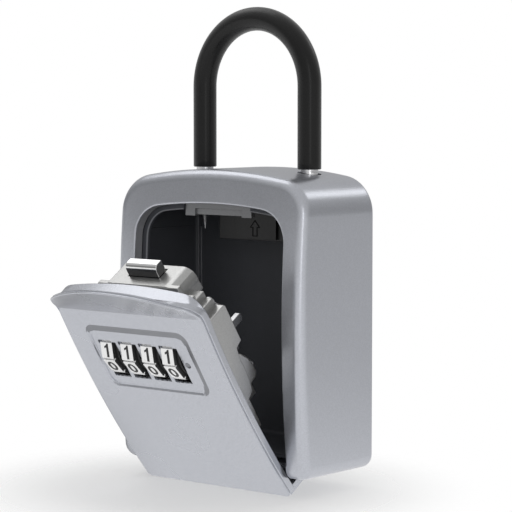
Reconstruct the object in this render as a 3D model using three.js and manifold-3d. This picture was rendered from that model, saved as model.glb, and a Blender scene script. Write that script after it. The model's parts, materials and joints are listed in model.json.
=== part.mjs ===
// Combination key safe with a removable shackle, in millimetres, +Z up.
// The origin is the centre of the back face. The front faces -Y and the door stands ajar.
// Pieces are drawn in case places: x across from the middle, y back from the front, z up from the
// base. Door pieces are drawn with the door shut, and their group then swings out at the hinge.

import * as THREE from 'three';
import { mergeVertices } from 'three/addons/utils/BufferGeometryUtils.js';
import Module from 'manifold-3d';

const wasm = await Module();
wasm.setup();

// Fits shared by many pieces
const seatGap = 0.3;
const edgeGap = 0.15;
const overrun = 5;

// Steps of the round shapes
const archSteps = 10;
const cornerSteps = 5;
const footSteps = 2;
const weldDistance = 1e-5;
const sideSteps = 6;
const filletSteps = 3;
const roundSides = 16;
const fineSides = 32;

// Case
const caseWidth = 97.2;
const caseHeight = 120;
const caseDepth = 47.5;
const caseArchRadius = 225;
const caseCornerRadius = 15;
const caseFootRadius = 5.5;
const frontFillet = 4;
const rearFillet = 2.4;
const frontBow = 2.9;
const frontBowSpan = 53;
const frontWall = 4.7;
const sideWall = 4.2;
const openingWidth = 77.4;
const openingTopDrop = 13.6;
const openingTop = caseHeight - openingTopDrop;
const openingArchRadius = 225;
const openingCornerRadius = 13;
const openingFoot = 5;
const openingFootRadius = 1;
const openingBevel = 0.5;

// Back plate, let into the rear of the case
const plateThickness = 2.3;
const plateRebate = 0.4;

// Liner, a dark moulded tray behind the front wall
const linerWall = 1.5;
const linerFloor = 9.1;
const linerLipInset = 2.3;
const linerLipThickness = 1.6;
const linerBottomRadius = 1.6;

// Hinge at the foot of the door
const hingeBack = 18.6;
const hingeHeight = 2.8;
const hingePinRadius = 1.25;
const hingeBoreGap = 0.35;
const hingeBarrelRadius = 2.6;
const hingeBarrelHalf = 38.4;
const hingeBossWidth = 5.2;
const hingeBossDepth = 8;
const hingeBossHeight = 7;
const hingePinInset = 0.6;
const hingeBayBack = 0.5;

// Door
const openAngleDegrees = 33.9;
const doorWidth = 74.8;
const doorFootLevel = 0.3;
const doorSlab = 4.5;
const doorCreaseDrop = 28.9;
const doorCrease = caseHeight - doorCreaseDrop;
const visorRise = 16.9;
const visorReach = 9;
const visorArchRadius = 66.8;
const visorCornerRadius = 8;
const doorBackTopDrop = 18.4;
const doorBackTop = caseHeight - doorBackTopDrop;
const doorBackArchRadius = 200;
const doorBackCornerRadius = 10;
const heelThickness = 3;
const heelFrontChamfer = 0.6;
const doorEdgeLand = 3.6;
const doorPocketDepth = 1.5;
const doorPocketFoot = 8;
const doorPocketTop = 36;

// Digit panel in the door
const panelLeft = 27;
const panelRight = 25.6;
const panelFootDrop = 66.4;
const panelFoot = caseHeight - panelFootDrop;
const panelTopDrop = 35.9;
const panelTop = caseHeight - panelTopDrop;
const panelDepth = 1.2;
const panelCorner = 4.5;
const panelTopBevel = 3;
const panelSideBevel = 1.2;
const indexRadius = 0.9;
const indexDepth = 0.4;
const indexAside = 1.6;

// Number wheels
const wheelCount = 4;
const wheelDigits = 10;
const wheelPitch = 10.6;
const wheelMiddle = -3.9;
const wheelWidth = 6.3;
const wheelRadius = 12.6;
const wheelGrooveDepth = 0.9;
const wheelFacetShare = 0.93;
const wheelProud = 1.8;
const wheelLevelDrop = 52.4;
const wheelLevel = caseHeight - wheelLevelDrop;
const wheelBoreGap = 0.4;
const sleeveRadius = 10.5;
const sleeveWidth = 2.9;
const sleeveFlangeWidth = 1.4;
const sleeveHubRadius = 5.6;
const sleeveGateFootDrop = 45.8;
const sleeveGateFoot = caseHeight - sleeveGateFootDrop;
const shaftRadius = 2;
const shaftLeftEnd = 30.7;
const shaftRightEnd = 21;
const shaftClipRadius = 3.6;
const shaftClipThickness = 0.8;
const windowBar = 2;
const windowHalfHeight = 9.3;
const wheelRoom = 0.8;

// Lock housing on the back of the door
const housingHalf = 31;
const housingFootDrop = 80;
const housingFoot = caseHeight - housingFootDrop;
const housingTopDrop = 37;
const housingTop = caseHeight - housingTopDrop;
const housingBack = 21.5;
const housingSkirtFootDrop = 90;
const housingSkirtFoot = caseHeight - housingSkirtFootDrop;
const housingSkirtBack = 12;
const housingSillTopDrop = 74;
const housingSillTop = caseHeight - housingSillTopDrop;
const housingSillBack = 16;
const bulgeHalf = 25;
const bulgeFootDrop = 73;
const bulgeFoot = caseHeight - bulgeFootDrop;
const bulgeTopDrop = 30;
const bulgeTop = caseHeight - bulgeTopDrop;
const bulgeBack = 25.6;
const bulgeChamfer = 1.4;
const shoulderHalf = 28;
const shoulderTopDrop = 33;
const shoulderTop = caseHeight - shoulderTopDrop;
const shoulderBack = 19;
const stepHalf = 20.3;
const stepTopDrop = 25.6;
const stepTop = caseHeight - stepTopDrop;
const stepBack = 13.4;
const humpTopHalf = 16;
const humpFootHalf = 22;
const humpTopDrop = 23;
const humpTop = caseHeight - humpTopDrop;
const humpFront = 14.3;
const humpBack = 24.8;
const housingNotchFootDrop = 63;
const housingNotchFoot = caseHeight - housingNotchFootDrop;
const housingNotchTopDrop = 59;
const housingNotchTop = caseHeight - housingNotchTopDrop;
const housingNotchDepth = 3;
const housingNotchWidth = 4;
const wheelRoomLeft = 26.9;
const wheelRoomRight = 19.8;
const fenceRoomFootDrop = 41.4;
const fenceRoomFoot = caseHeight - fenceRoomFootDrop;
const fenceRoomTopDrop = 31.4;
const fenceRoomTop = caseHeight - fenceRoomTopDrop;

// Latch bolt
const boltHalf = 8;
const boltFront = 16.5;
const boltBack = 22;
const boltFootDrop = 23.6;
const boltFoot = caseHeight - boltFootDrop;
const boltTopDrop = 16.7;
const boltTop = caseHeight - boltTopDrop;
const boltFrontChamfer = 1.6;
const boltRearChamfer = 2;
const boltNoseBack = 0.8;
const boltSlide = 0.3;
const boltDown = 2;
const stemHalf = 7.4;
const stemBack = 19.4;
const fenceLeft = 24.6;
const fenceRight = 17.2;
const fenceFootDrop = 38;
const fenceFoot = caseHeight - fenceFootDrop;
const fenceTopDrop = 35;
const fenceTop = caseHeight - fenceTopDrop;
const toothWidth = 1.2;
const toothFootDrop = 40.6;
const toothFoot = caseHeight - toothFootDrop;
const lugHalf = 2.5;
const lugFootDrop = 31;
const lugFoot = caseHeight - lugFootDrop;
const lugTopDrop = 29;
const lugTop = caseHeight - lugTopDrop;
const lugBack = 23.3;
const springFootDrop = 39.5;
const springFoot = caseHeight - springFootDrop;
const springTopDrop = 33.4;
const springTop = caseHeight - springTopDrop;
const springCoilRadius = 1.5;
const springWireRadius = 0.3;
const springTurns = 6;
const springStepsPerTurn = 10;
const springWireSides = 6;
const springBayBack = 23.9;
const springBayTopDrop = 25.6;
const springBayTop = caseHeight - springBayTopDrop;

// Detent comb under the wheels
const combLeft = 25.4;
const combRight = 17.6;
const combFront = 9;
const combBack = 19.6;
const combThickness = 0.6;
const combFingerWidth = 4;
const combFingerDepth = 1.6;

// Code change lever
const leverRoomLeft = 22.2;
const leverRoomRight = 30;
const leverFront = 12;
const leverRoomBack = 19.7;
const leverRoomFootDrop = 58;
const leverRoomFoot = caseHeight - leverRoomFootDrop;
const leverTravel = 5;
const leverBlockHeight = 13;
const tabLeft = 26.3;
const tabRight = 29.3;
const tabFootDrop = 52.4;
const tabFoot = caseHeight - tabFootDrop;
const tabTopDrop = 47;
const tabTop = caseHeight - tabTopDrop;
const tabBack = 29.3;

// Screws
const screwShankRadius = 1.25;
const screwHeadRadius = 2.4;
const screwHeadHeight = 1.6;
const screwSlotWidth = 0.8;
const screwSlotDepth = 0.7;
const screwSlotShare = 0.7;
const screwDepthInDoor = 1.6;
const leftScrewAcross = 29;
const leftScrewTopLevelDrop = 41;
const leftScrewTopLevel = caseHeight - leftScrewTopLevelDrop;
const leftScrewFootLevelDrop = 70.5;
const leftScrewFootLevel = caseHeight - leftScrewFootLevelDrop;
const rightScrewAcross = 27.5;
const rightScrewFootLevelDrop = 68.5;
const rightScrewFootLevel = caseHeight - rightScrewFootLevelDrop;
const shoulderScrewAcross = 25.2;
const shoulderScrewLevelDrop = 35.6;
const shoulderScrewLevel = caseHeight - shoulderScrewLevelDrop;
const linerScrewInset = 14.6;
const linerScrewAcross = caseWidth / 2 - linerScrewInset;
const linerScrewLow = 20;
const linerScrewHighDrop = 62;
const linerScrewHigh = caseHeight - linerScrewHighDrop;
const linerScrewBite = 1.5;

// Keeper behind the top of the opening
const keeperHalf = 17.2;
const keeperThickness = 2.5;
const keeperShelfHalf = 10;
const keeperShelfHeight = 2.8;
const keeperShelfPlay = 0.8;
const keeperFootDrop = 16.1;
const keeperFoot = caseHeight - keeperFootDrop;
const keeperLugWidth = 5;
const keeperLugFootDrop = 19;
const keeperLugFoot = caseHeight - keeperLugFootDrop;
const keeperScrewAcross = 12.6;
const keeperScrewLevelDrop = 10.6;
const keeperScrewLevel = caseHeight - keeperScrewLevelDrop;
const keeperScrewBite = 2;

// Shackle
const shackleHalfSpan = 27.5;
const shackleBackInset = 15.6;
const shackleBack = caseDepth - shackleBackInset;
const shackleRise = 60.2;
const shackleTop = caseHeight + shackleRise;
const shackleRadius = 3.5;
const shackleFootDrop = 27;
const shackleFoot = caseHeight - shackleFootDrop;
const sleeveOuterRadius = 4.78;
const sleeveFootDrop = 0.15;
const sleeveFoot = caseHeight - sleeveFootDrop;
const sleeveBore = 0.2;
const shackleArcSteps = 20;
const bushWall = 0.9;
const bushFootDrop = 9;
const bushFoot = caseHeight - bushFootDrop;
const bushTopDrop = 2.3;
const bushTop = caseHeight - bushTopDrop;
const notchFootDrop = 21.1;
const notchFoot = caseHeight - notchFootDrop;
const notchTopDrop = 16.9;
const notchTop = caseHeight - notchTopDrop;
const notchDepth = 2.6;
const collarNotchDepth = 0.8;
const collarNotchHeight = 0.9;

// Shackle release behind the liner's upper right
const releaseLeft = -15;
const releaseFrontInset = 21;
const releaseFront = caseDepth - releaseFrontInset;
const releaseFootDrop = 29.2;
const releaseFoot = caseHeight - releaseFootDrop;
const releaseWall = 1.5;
const releaseBayLeft = -8;
const releaseBayBackInset = 11.5;
const releaseBayBack = caseDepth - releaseBayBackInset;
const releaseBayFootDrop = 27.6;
const releaseBayFoot = caseHeight - releaseBayFootDrop;
const releaseBayTopDrop = 10.4;
const releaseBayTop = caseHeight - releaseBayTopDrop;
const releaseTravel = 3;
const sliderLeft = -7;
const sliderRight = 14.6;
const sliderThickness = 2;
const sliderFootDrop = 24.2;
const sliderFoot = caseHeight - sliderFootDrop;
const sliderTopDrop = 11;
const sliderTop = caseHeight - sliderTopDrop;
const buttonLeft = -3.4;
const buttonRight = 7.4;
const buttonFootDrop = 23.9;
const buttonFoot = caseHeight - buttonFootDrop;
const buttonTopDrop = 16.4;
const buttonTop = caseHeight - buttonTopDrop;
const buttonProud = 0.9;
const arrowHeight = 5.2;
const arrowHalf = 2.4;
const arrowStemShare = 0.45;
const arrowRaise = 0.3;
const camPegRadius = 1;
const camPegAcross = 9.4;
const camPegLevelDrop = 19;
const camPegLevel = caseHeight - camPegLevelDrop;
const catchTip = 23.2;
const catchLeft = 7.6;
const catchFootDrop = 20.6;
const catchFoot = caseHeight - catchFootDrop;
const catchTopDrop = 17.4;
const catchTop = caseHeight - catchTopDrop;
const catchThickness = 2.2;
const catchGap = 0.6;

// Worked-out places
const middleHeight = caseHeight / 2;
const openAngle = THREE.MathUtils.degToRad(openAngleDegrees);
const wheelAxisBack = wheelRadius - wheelProud;
const rebateInset = rearFillet + plateRebate;
const plateFront = caseDepth - plateThickness;
const linerInset = sideWall + seatGap;
const linerInnerInset = linerInset + linerWall;
const linerUnderside = linerFloor - linerWall;
const linerBackInside = plateFront - linerWall;
const hingeBayEnd = hingeBack + hingeBarrelRadius + hingeBayBack;
const visorSlope = visorReach / visorRise;

// How far the bowed front face lies back at a height
function bow(z) {
  return frontBow * ((z - middleHeight) / frontBowSpan) ** 2;
}

function finish(colour, roughness, metalness) {
  return new THREE.MeshStandardMaterial({ color: colour, roughness, metalness });
}

const paintedMetal = finish(0xa3a6ad, 0.42, 0.35);
const castMetal = finish(0x9a9a98, 0.45, 0.8);
const chrome = finish(0xd8d9da, 0.12, 1);
const steel = finish(0xb4b6b8, 0.3, 1);
const darkPlastic = finish(0x24262a, 0.6, 0);
const blackPlastic = finish(0x18191b, 0.5, 0);
const vinyl = finish(0x1b1b1c, 0.55, 0);
const wheelMetal = finish(0xd9dadb, 0.35, 0.7);

// Solids from three.js geometries and back
function solid(geometry) {
  const bare = geometry.clone();
  bare.deleteAttribute('normal');
  bare.deleteAttribute('uv');
  const merged = mergeVertices(bare, weldDistance);
  const vertProperties = new Float32Array(merged.attributes.position.array);
  const triVerts = new Uint32Array(merged.index.array);
  const made = new wasm.Manifold(new wasm.Mesh({ numProp: 3, vertProperties, triVerts }));
  if (made.volume() > 0) return made;
  for (let i = 0; i < triVerts.length; i += 3) {
    [triVerts[i], triVerts[i + 1]] = [triVerts[i + 1], triVerts[i]];
  }
  return new wasm.Manifold(new wasm.Mesh({ numProp: 3, vertProperties, triVerts }));
}

function geometryOf(body) {
  const mesh = body.getMesh();
  const geometry = new THREE.BufferGeometry();
  geometry.setAttribute('position', new THREE.BufferAttribute(new Float32Array(mesh.vertProperties), 3));
  geometry.setIndex(new THREE.BufferAttribute(new Uint32Array(mesh.triVerts), 1));
  geometry.computeVertexNormals();
  return geometry;
}

function joined(...bodies) {
  return bodies.reduce((whole, body) => whole.add(body));
}

function cut(body, ...tools) {
  return tools.reduce((whole, tool) => whole.subtract(tool), body);
}

// A box from its lowest to its highest corner
function box(x0, x1, y0, y1, z0, z1) {
  const geometry = new THREE.BoxGeometry(x1 - x0, y1 - y0, z1 - z0);
  geometry.translate((x0 + x1) / 2, (y0 + y1) / 2, (z0 + z1) / 2);
  return solid(geometry);
}

// Prisms whose outline lies across one axis
function extruded(points, length) {
  const shape = new THREE.Shape(points.map(([u, v]) => new THREE.Vector2(u, v)));
  return new THREE.ExtrudeGeometry(shape, { depth: length, bevelEnabled: false, curveSegments: 1 });
}

function prismAlongY(pointsXZ, y0, y1) {
  const geometry = extruded(pointsXZ, y1 - y0);
  geometry.rotateX(Math.PI / 2);
  geometry.translate(0, y1, 0);
  return solid(geometry);
}

function prismAlongX(pointsYZ, x0, x1) {
  const geometry = extruded(pointsYZ, x1 - x0);
  geometry.applyMatrix4(new THREE.Matrix4().set(0, 0, 1, 0, 1, 0, 0, 0, 0, 1, 0, 0, 0, 0, 0, 1));
  geometry.translate(x0, 0, 0);
  return solid(geometry);
}

// Round bars along each axis
function rodAlongX(radius, x0, x1, y, z, sides = roundSides) {
  const geometry = new THREE.CylinderGeometry(radius, radius, x1 - x0, sides);
  geometry.rotateZ(Math.PI / 2);
  geometry.translate((x0 + x1) / 2, y, z);
  return solid(geometry);
}

function rodAlongY(radius, y0, y1, x, z, sides = roundSides) {
  const geometry = new THREE.CylinderGeometry(radius, radius, y1 - y0, sides);
  geometry.translate(x, (y0 + y1) / 2, z);
  return solid(geometry);
}

function rodAlongZ(radius, z0, z1, x, y, sides = roundSides) {
  const geometry = new THREE.CylinderGeometry(radius, radius, z1 - z0, sides);
  geometry.rotateX(Math.PI / 2);
  geometry.translate(x, y, (z0 + z1) / 2);
  return solid(geometry);
}

// An arched outline: straight sides, round feet, round corners and a shallow arch, as [x, z] points
function archOutline({ half, top, bottom, arch, corner, foot }) {
  const points = [];
  const round = (x, z, radius, from, to, steps) => {
    for (let i = 0; i <= steps; i += 1) {
      const angle = from + ((to - from) * i) / steps;
      points.push([x + radius * Math.cos(angle), z + radius * Math.sin(angle)]);
    }
  };
  const archCentre = top - arch;
  const cornerX = half - corner;
  const cornerZ = archCentre + Math.sqrt((arch - corner) ** 2 - cornerX ** 2);
  const meet = Math.atan2(cornerZ - archCentre, cornerX);
  const footZ = bottom + foot;
  round(half - foot, footZ, foot, -Math.PI / 2, 0, footSteps);
  for (let i = 1; i < sideSteps; i += 1) {
    points.push([half, footZ + ((cornerZ - footZ) * i) / sideSteps]);
  }
  round(cornerX, cornerZ, corner, 0, meet, cornerSteps);
  for (let i = 1; i < archSteps; i += 1) {
    const angle = meet + ((Math.PI - 2 * meet) * i) / archSteps;
    points.push([arch * Math.cos(angle), archCentre + arch * Math.sin(angle)]);
  }
  round(-cornerX, cornerZ, corner, Math.PI - meet, Math.PI, cornerSteps);
  for (let i = sideSteps - 1; i > 0; i -= 1) {
    points.push([-half, footZ + ((cornerZ - footZ) * i) / sideSteps]);
  }
  round(-half + foot, footZ, foot, Math.PI, Math.PI * 1.5, footSteps);
  return points;
}

// A closed surface through rings of points; a loop joins its last ring to its first
function loft(rings, loop = false) {
  const count = rings[0].length;
  const indices = [];
  const bands = loop ? rings.length : rings.length - 1;
  for (let i = 0; i < bands; i += 1) {
    const a = i * count;
    const b = ((i + 1) % rings.length) * count;
    for (let j = 0; j < count; j += 1) {
      const k = (j + 1) % count;
      indices.push(a + j, a + k, b + k, a + j, b + k, b + j);
    }
  }
  if (!loop) {
    const lastStart = (rings.length - 1) * count;
    for (const [ring, start, turned] of [[rings[0], 0, true], [rings.at(-1), lastStart, false]]) {
      for (const [p, q, r] of THREE.ShapeUtils.triangulateShape(flattened(ring), [])) {
        if (turned) indices.push(start + p, start + r, start + q);
        else indices.push(start + p, start + q, start + r);
      }
    }
  }
  const geometry = new THREE.BufferGeometry();
  geometry.setAttribute('position', new THREE.Float32BufferAttribute(rings.flat(2), 3));
  geometry.setIndex(indices);
  return solid(geometry);
}

// A flat ring's points in its own plane, turning the same way as its neighbours
function flattened(ring) {
  const points = ring.map((point) => new THREE.Vector3(...point));
  const normal = new THREE.Vector3();
  points.forEach((p, i) => {
    const q = points[(i + 1) % points.length];
    normal.add(new THREE.Vector3().crossVectors(p, q));
  });
  const turn = new THREE.Quaternion().setFromUnitVectors(normal.normalize(), new THREE.Vector3(0, 0, 1));
  return points.map((point) => {
    const turned = point.applyQuaternion(turn);
    return new THREE.Vector2(turned.x, turned.y);
  });
}

// Outlines of the case and everything nested in it
function caseOutline(inset) {
  return archOutline({
    half: caseWidth / 2 - inset,
    top: caseHeight - inset,
    bottom: inset,
    arch: caseArchRadius - inset,
    corner: caseCornerRadius - inset,
    foot: caseFootRadius - inset,
  });
}

function openingOutline(inset) {
  return archOutline({
    half: openingWidth / 2 - inset,
    top: openingTop - inset,
    bottom: openingFoot,
    arch: openingArchRadius - inset,
    corner: openingCornerRadius - inset,
    foot: openingFootRadius,
  });
}

function linerOutline(inset, bottom) {
  return archOutline({
    half: caseWidth / 2 - inset,
    top: caseHeight - inset,
    bottom,
    arch: caseArchRadius - inset,
    corner: caseCornerRadius - inset,
    foot: linerBottomRadius,
  });
}

function linerLipOutline() {
  return archOutline({
    half: openingWidth / 2 - linerLipInset,
    top: openingTop - linerLipInset,
    bottom: linerFloor,
    arch: openingArchRadius - linerLipInset,
    corner: openingCornerRadius - linerLipInset,
    foot: linerBottomRadius,
  });
}

// Rings of an outline at a fixed depth, or following the bowed front
function ringAt(outline, y) {
  return outline.map(([x, z]) => [x, y, z]);
}

function ringBehindFront(outline, depth) {
  return outline.map(([x, z]) => [x, bow(z) + depth, z]);
}

function shackleHole(radius, z0, z1) {
  return [-1, 1].map((side) => rodAlongZ(radius, z0, z1, side * shackleHalfSpan, shackleBack));
}

function makeCaseShell() {
  const rings = [ringAt(caseOutline(rebateInset), caseDepth)];
  for (let i = 0; i <= filletSteps; i += 1) {
    const angle = (Math.PI / 2) * (i / filletSteps);
    const inset = rearFillet * (1 - Math.sin(angle));
    rings.push(ringAt(caseOutline(inset), caseDepth - rearFillet * (1 - Math.cos(angle))));
  }
  for (let i = 0; i <= filletSteps; i += 1) {
    const angle = (Math.PI / 2) * (i / filletSteps);
    const inset = frontFillet * (1 - Math.cos(angle));
    rings.push(ringBehindFront(caseOutline(inset), frontFillet * (1 - Math.sin(angle))));
  }
  rings.push(ringBehindFront(openingOutline(-openingBevel), 0));
  rings.push(ringBehindFront(openingOutline(0), openingBevel));
  rings.push(ringBehindFront(openingOutline(0), frontWall));
  rings.push(ringBehindFront(caseOutline(sideWall), frontWall));
  rings.push(ringAt(caseOutline(sideWall), plateFront));
  rings.push(ringAt(caseOutline(rebateInset), plateFront));
  const shell = loft(rings, true);
  const half = openingWidth / 2;
  const hingeBay = box(-half, half, -overrun, hingeBayEnd, -overrun, openingFoot + openingFootRadius);
  const bosses = [-1, 1].map((side) => {
    const inner = hingeBarrelHalf + seatGap;
    const ends = [side * inner, side * (inner + hingeBossWidth + sideWall / 2)].sort((a, b) => a - b);
    const front = hingeBack - hingeBossDepth / 2;
    return box(ends[0], ends[1], front, front + hingeBossDepth, caseFootRadius / 2, hingeBossHeight);
  });
  const pinHole = rodAlongX(
    hingePinRadius + edgeGap,
    -hingeBarrelHalf - hingeBossWidth,
    hingeBarrelHalf + hingeBossWidth,
    hingeBack,
    hingeHeight,
  );
  const bushHole = shackleRadius + seatGap + bushWall + edgeGap;
  const holes = shackleHole(bushHole, caseHeight - 2 * sideWall, caseHeight + overrun);
  const keeperHoles = [-1, 1].map((side) => rodAlongY(
    screwShankRadius + edgeGap, keeperFront() - keeperScrewBite - edgeGap, hingeBack,
    side * keeperScrewAcross, keeperScrewLevel,
  ));
  return cut(joined(cut(shell, hingeBay), ...bosses), pinHole, ...holes, ...keeperHoles);
}

function makeBackPlate() {
  const outline = caseOutline(rebateInset + edgeGap);
  const plate = prismAlongY(outline, plateFront, caseDepth);
  const holes = linerScrewPlaces().map(([x, z]) => rodAlongY(
    screwShankRadius + edgeGap, plateFront - overrun, plateFront + linerScrewBite + edgeGap, x, z,
  ));
  return cut(plate, ...holes);
}

function linerScrewPlaces() {
  const across = [-linerScrewAcross, linerScrewAcross];
  return [linerScrewLow, linerScrewHigh].flatMap((z) => across.map((x) => [x, z]));
}

function makeLiner() {
  const outer = linerOutline(linerInset, linerUnderside);
  const inner = linerOutline(linerInnerInset, linerFloor);
  const lip = linerLipOutline();
  const lipFront = frontWall + seatGap;
  const lipBack = lipFront + linerLipThickness;
  const tray = loft([
    ringAt(outer, plateFront),
    ringBehindFront(outer, lipFront),
    ringBehindFront(lip, lipFront),
    ringBehindFront(lip, lipBack),
    ringBehindFront(inner, lipBack),
    ringAt(inner, linerBackInside),
  ]);
  const keeperBay = box(
    -keeperHalf - seatGap, keeperHalf + seatGap,
    0, keeperFront() + keeperThickness + seatGap,
    keeperLugFoot - overrun, caseHeight - linerInnerInset - seatGap,
  );
  const legHoles = shackleHole(shackleRadius + seatGap + bushWall + edgeGap, shackleFoot, caseHeight);
  const screwHoles = linerScrewPlaces().map(([x, z]) => rodAlongY(
    screwShankRadius + edgeGap, linerBackInside - overrun, plateFront + overrun, x, z,
  ));
  return cut(tray, keeperBay, ...legHoles, ...screwHoles);
}

// A pan-head screw along Y; headSide is -1 when its head faces the front
function makeScrew(x, z, seat, length, headSide) {
  const tip = seat - headSide * length;
  const headEnd = seat + headSide * screwHeadHeight;
  const head = rodAlongY(screwHeadRadius, Math.min(seat, headEnd), Math.max(seat, headEnd), x, z);
  const shank = rodAlongY(screwShankRadius, Math.min(seat, tip), Math.max(seat, tip), x, z);
  const slotDeep = headEnd - headSide * screwSlotDepth;
  const slotOut = headEnd + headSide * overrun;
  const slotEnds = [Math.min(slotDeep, slotOut), Math.max(slotDeep, slotOut)];
  const half = screwSlotWidth / 2;
  const long = screwHeadRadius * screwSlotShare;
  const cross = joined(
    box(x - long, x + long, slotEnds[0], slotEnds[1], z - half, z + half),
    box(x - half, x + half, slotEnds[0], slotEnds[1], z - long, z + long),
  );
  return cut(joined(head, shank), cross);
}

function makeHingePin() {
  const end = hingeBarrelHalf + seatGap + hingeBossWidth - hingePinInset;
  return rodAlongX(hingePinRadius, -end, end, hingeBack, hingeHeight);
}

// Keeper: a bar behind the front wall, with two hanging lugs and a shelf that the bolt rises behind
function keeperTop() {
  return caseHeight - linerInnerInset - 2 * seatGap;
}

function keeperFront() {
  return bow(keeperTop()) + frontWall + seatGap;
}

function makeKeeper() {
  const front = keeperFront();
  const back = front + keeperThickness;
  const bar = box(-keeperHalf, keeperHalf, front, back, keeperFoot, keeperTop());
  const shelf = box(
    -keeperShelfHalf, keeperShelfHalf, front, boltFront - keeperShelfPlay, keeperFoot, keeperFoot + keeperShelfHeight,
  );
  const lugs = [-1, 1].map((side) => {
    const ends = [side * keeperHalf, side * (keeperHalf - keeperLugWidth)].sort((a, b) => a - b);
    return box(ends[0], ends[1], front, back, keeperLugFoot, keeperFoot + overrun);
  });
  const holes = [-1, 1].map((side) => rodAlongY(
    screwShankRadius + edgeGap, front - overrun, back + overrun, side * keeperScrewAcross, keeperScrewLevel,
  ));
  return cut(joined(bar, shelf, ...lugs), ...holes);
}

// Rings of a round bar along the shackle's path, from the left foot over the arch to the right foot
function shackleRings(radius, foot) {
  const centreZ = shackleTop - shackleHalfSpan;
  const stations = [[-shackleHalfSpan, foot, Math.PI]];
  for (let i = 0; i <= shackleArcSteps; i += 1) {
    const angle = Math.PI - (Math.PI * i) / shackleArcSteps;
    const x = shackleHalfSpan * Math.cos(angle);
    stations.push([x, centreZ + shackleHalfSpan * Math.sin(angle), angle]);
  }
  stations.push([shackleHalfSpan, foot, 0]);
  return stations.map(([x, z, angle]) => {
    const ring = [];
    for (let j = 0; j < roundSides; j += 1) {
      const turn = (2 * Math.PI * j) / roundSides;
      const out = radius * Math.cos(turn);
      ring.push([x + out * Math.cos(angle), shackleBack + radius * Math.sin(turn), z + out * Math.sin(angle)]);
    }
    return ring;
  });
}

function makeShackleBar() {
  const bar = loft(shackleRings(shackleRadius, shackleFoot));
  const rightFace = shackleHalfSpan - shackleRadius;
  const catchNotch = box(
    rightFace - overrun, rightFace + notchDepth,
    shackleBack - shackleRadius - overrun, shackleBack + shackleRadius + overrun,
    notchFoot, notchTop,
  );
  const collars = [-1, 1].map((side) => {
    const outer = side * (shackleHalfSpan + shackleRadius - collarNotchDepth);
    const ends = [outer, outer + side * overrun].sort((a, b) => a - b);
    return box(
      ends[0], ends[1],
      shackleBack - shackleRadius - overrun, shackleBack + shackleRadius + overrun,
      sleeveFoot - collarNotchHeight - seatGap, sleeveFoot - seatGap,
    );
  });
  return cut(bar, catchNotch, ...collars);
}

function makeShackleSleeve() {
  const outer = shackleRings(sleeveOuterRadius, sleeveFoot);
  const inner = shackleRings(shackleRadius + sleeveBore, sleeveFoot);
  return loft([...outer, ...inner.reverse()], true);
}

function makeBush(side) {
  const x = side * shackleHalfSpan;
  const outer = rodAlongZ(shackleRadius + seatGap + bushWall, bushFoot, bushTop, x, shackleBack);
  const bore = rodAlongZ(shackleRadius + seatGap, bushFoot - overrun, bushTop + overrun, x, shackleBack);
  return cut(outer, bore);
}

// Shackle release: a black box in the upper right of the liner, its slider and its catch
function makeReleaseHousing() {
  const inside = prismAlongY(
    linerOutline(linerInnerInset + seatGap, linerFloor),
    releaseFront, linerBackInside - seatGap,
  );
  const block = inside.intersect(box(
    releaseLeft, caseWidth, releaseFront, caseDepth, releaseFoot, caseHeight,
  ));
  const bay = box(
    releaseBayLeft, shackleHalfSpan, releaseFront + releaseWall, releaseBayBack, releaseBayFoot, releaseBayTop,
  );
  const buttonSlot = box(
    buttonLeft - seatGap, buttonRight + seatGap,
    releaseFront - overrun, releaseFront + releaseWall + overrun / 2,
    buttonFoot - releaseTravel - seatGap, buttonTop + seatGap,
  );
  const bore = rodAlongZ(
    shackleRadius + seatGap + bushWall + edgeGap, releaseFoot - overrun, caseHeight + overrun,
    shackleHalfSpan, shackleBack,
  );
  const screwClearance = screwHeadRadius + seatGap;
  const screwBay = rodAlongY(
    screwClearance, releaseFront, caseDepth, linerScrewAcross, linerScrewHigh,
  );
  return cut(block, bay, buttonSlot, bore, screwBay);
}

// A slot with round ends as an [x, z] outline
function slotOutline([ax, az], [bx, bz], radius, steps) {
  const heading = Math.atan2(bz - az, bx - ax);
  const points = [];
  for (const [x, z, start] of [[bx, bz, heading - Math.PI / 2], [ax, az, heading + Math.PI / 2]]) {
    for (let i = 0; i <= steps; i += 1) {
      const angle = start + (Math.PI * i) / steps;
      points.push([x + radius * Math.cos(angle), z + radius * Math.sin(angle)]);
    }
  }
  return points;
}

function makeReleaseSlider() {
  const front = releaseFront + releaseWall + seatGap;
  const plate = box(sliderLeft, sliderRight, front, front + sliderThickness, sliderFoot, sliderTop);
  const face = releaseFront - buttonProud;
  const button = box(buttonLeft, buttonRight, face, front + sliderThickness / 2, buttonFoot, buttonTop);
  const middle = (buttonLeft + buttonRight) / 2;
  const centre = (buttonFoot + buttonTop) / 2;
  const stem = arrowHalf * arrowStemShare;
  const arrow = prismAlongY([
    [middle - stem, centre - arrowHeight / 2],
    [middle + stem, centre - arrowHeight / 2],
    [middle + stem, centre],
    [middle + arrowHalf, centre],
    [middle, centre + arrowHeight / 2],
    [middle - arrowHalf, centre],
    [middle - stem, centre],
  ], face - arrowRaise, face + buttonProud);
  const camSlot = prismAlongY(
    slotOutline(
      [camPegAcross, camPegLevel],
      [camPegAcross + releaseTravel, camPegLevel + releaseTravel],
      camPegRadius + seatGap,
      footSteps * 2,
    ),
    front - overrun, front + sliderThickness + overrun,
  );
  return cut(joined(plate, button, arrow), camSlot);
}

function makeShackleCatch() {
  const front = releaseFront + releaseWall + seatGap + sliderThickness + catchGap;
  const bar = box(catchLeft, catchTip, front, front + catchThickness, catchFoot, catchTop);
  const peg = rodAlongY(
    camPegRadius, front - catchGap - sliderThickness / 2, front + catchThickness / 2, camPegAcross, camPegLevel,
  );
  return joined(bar, peg);
}

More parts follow.
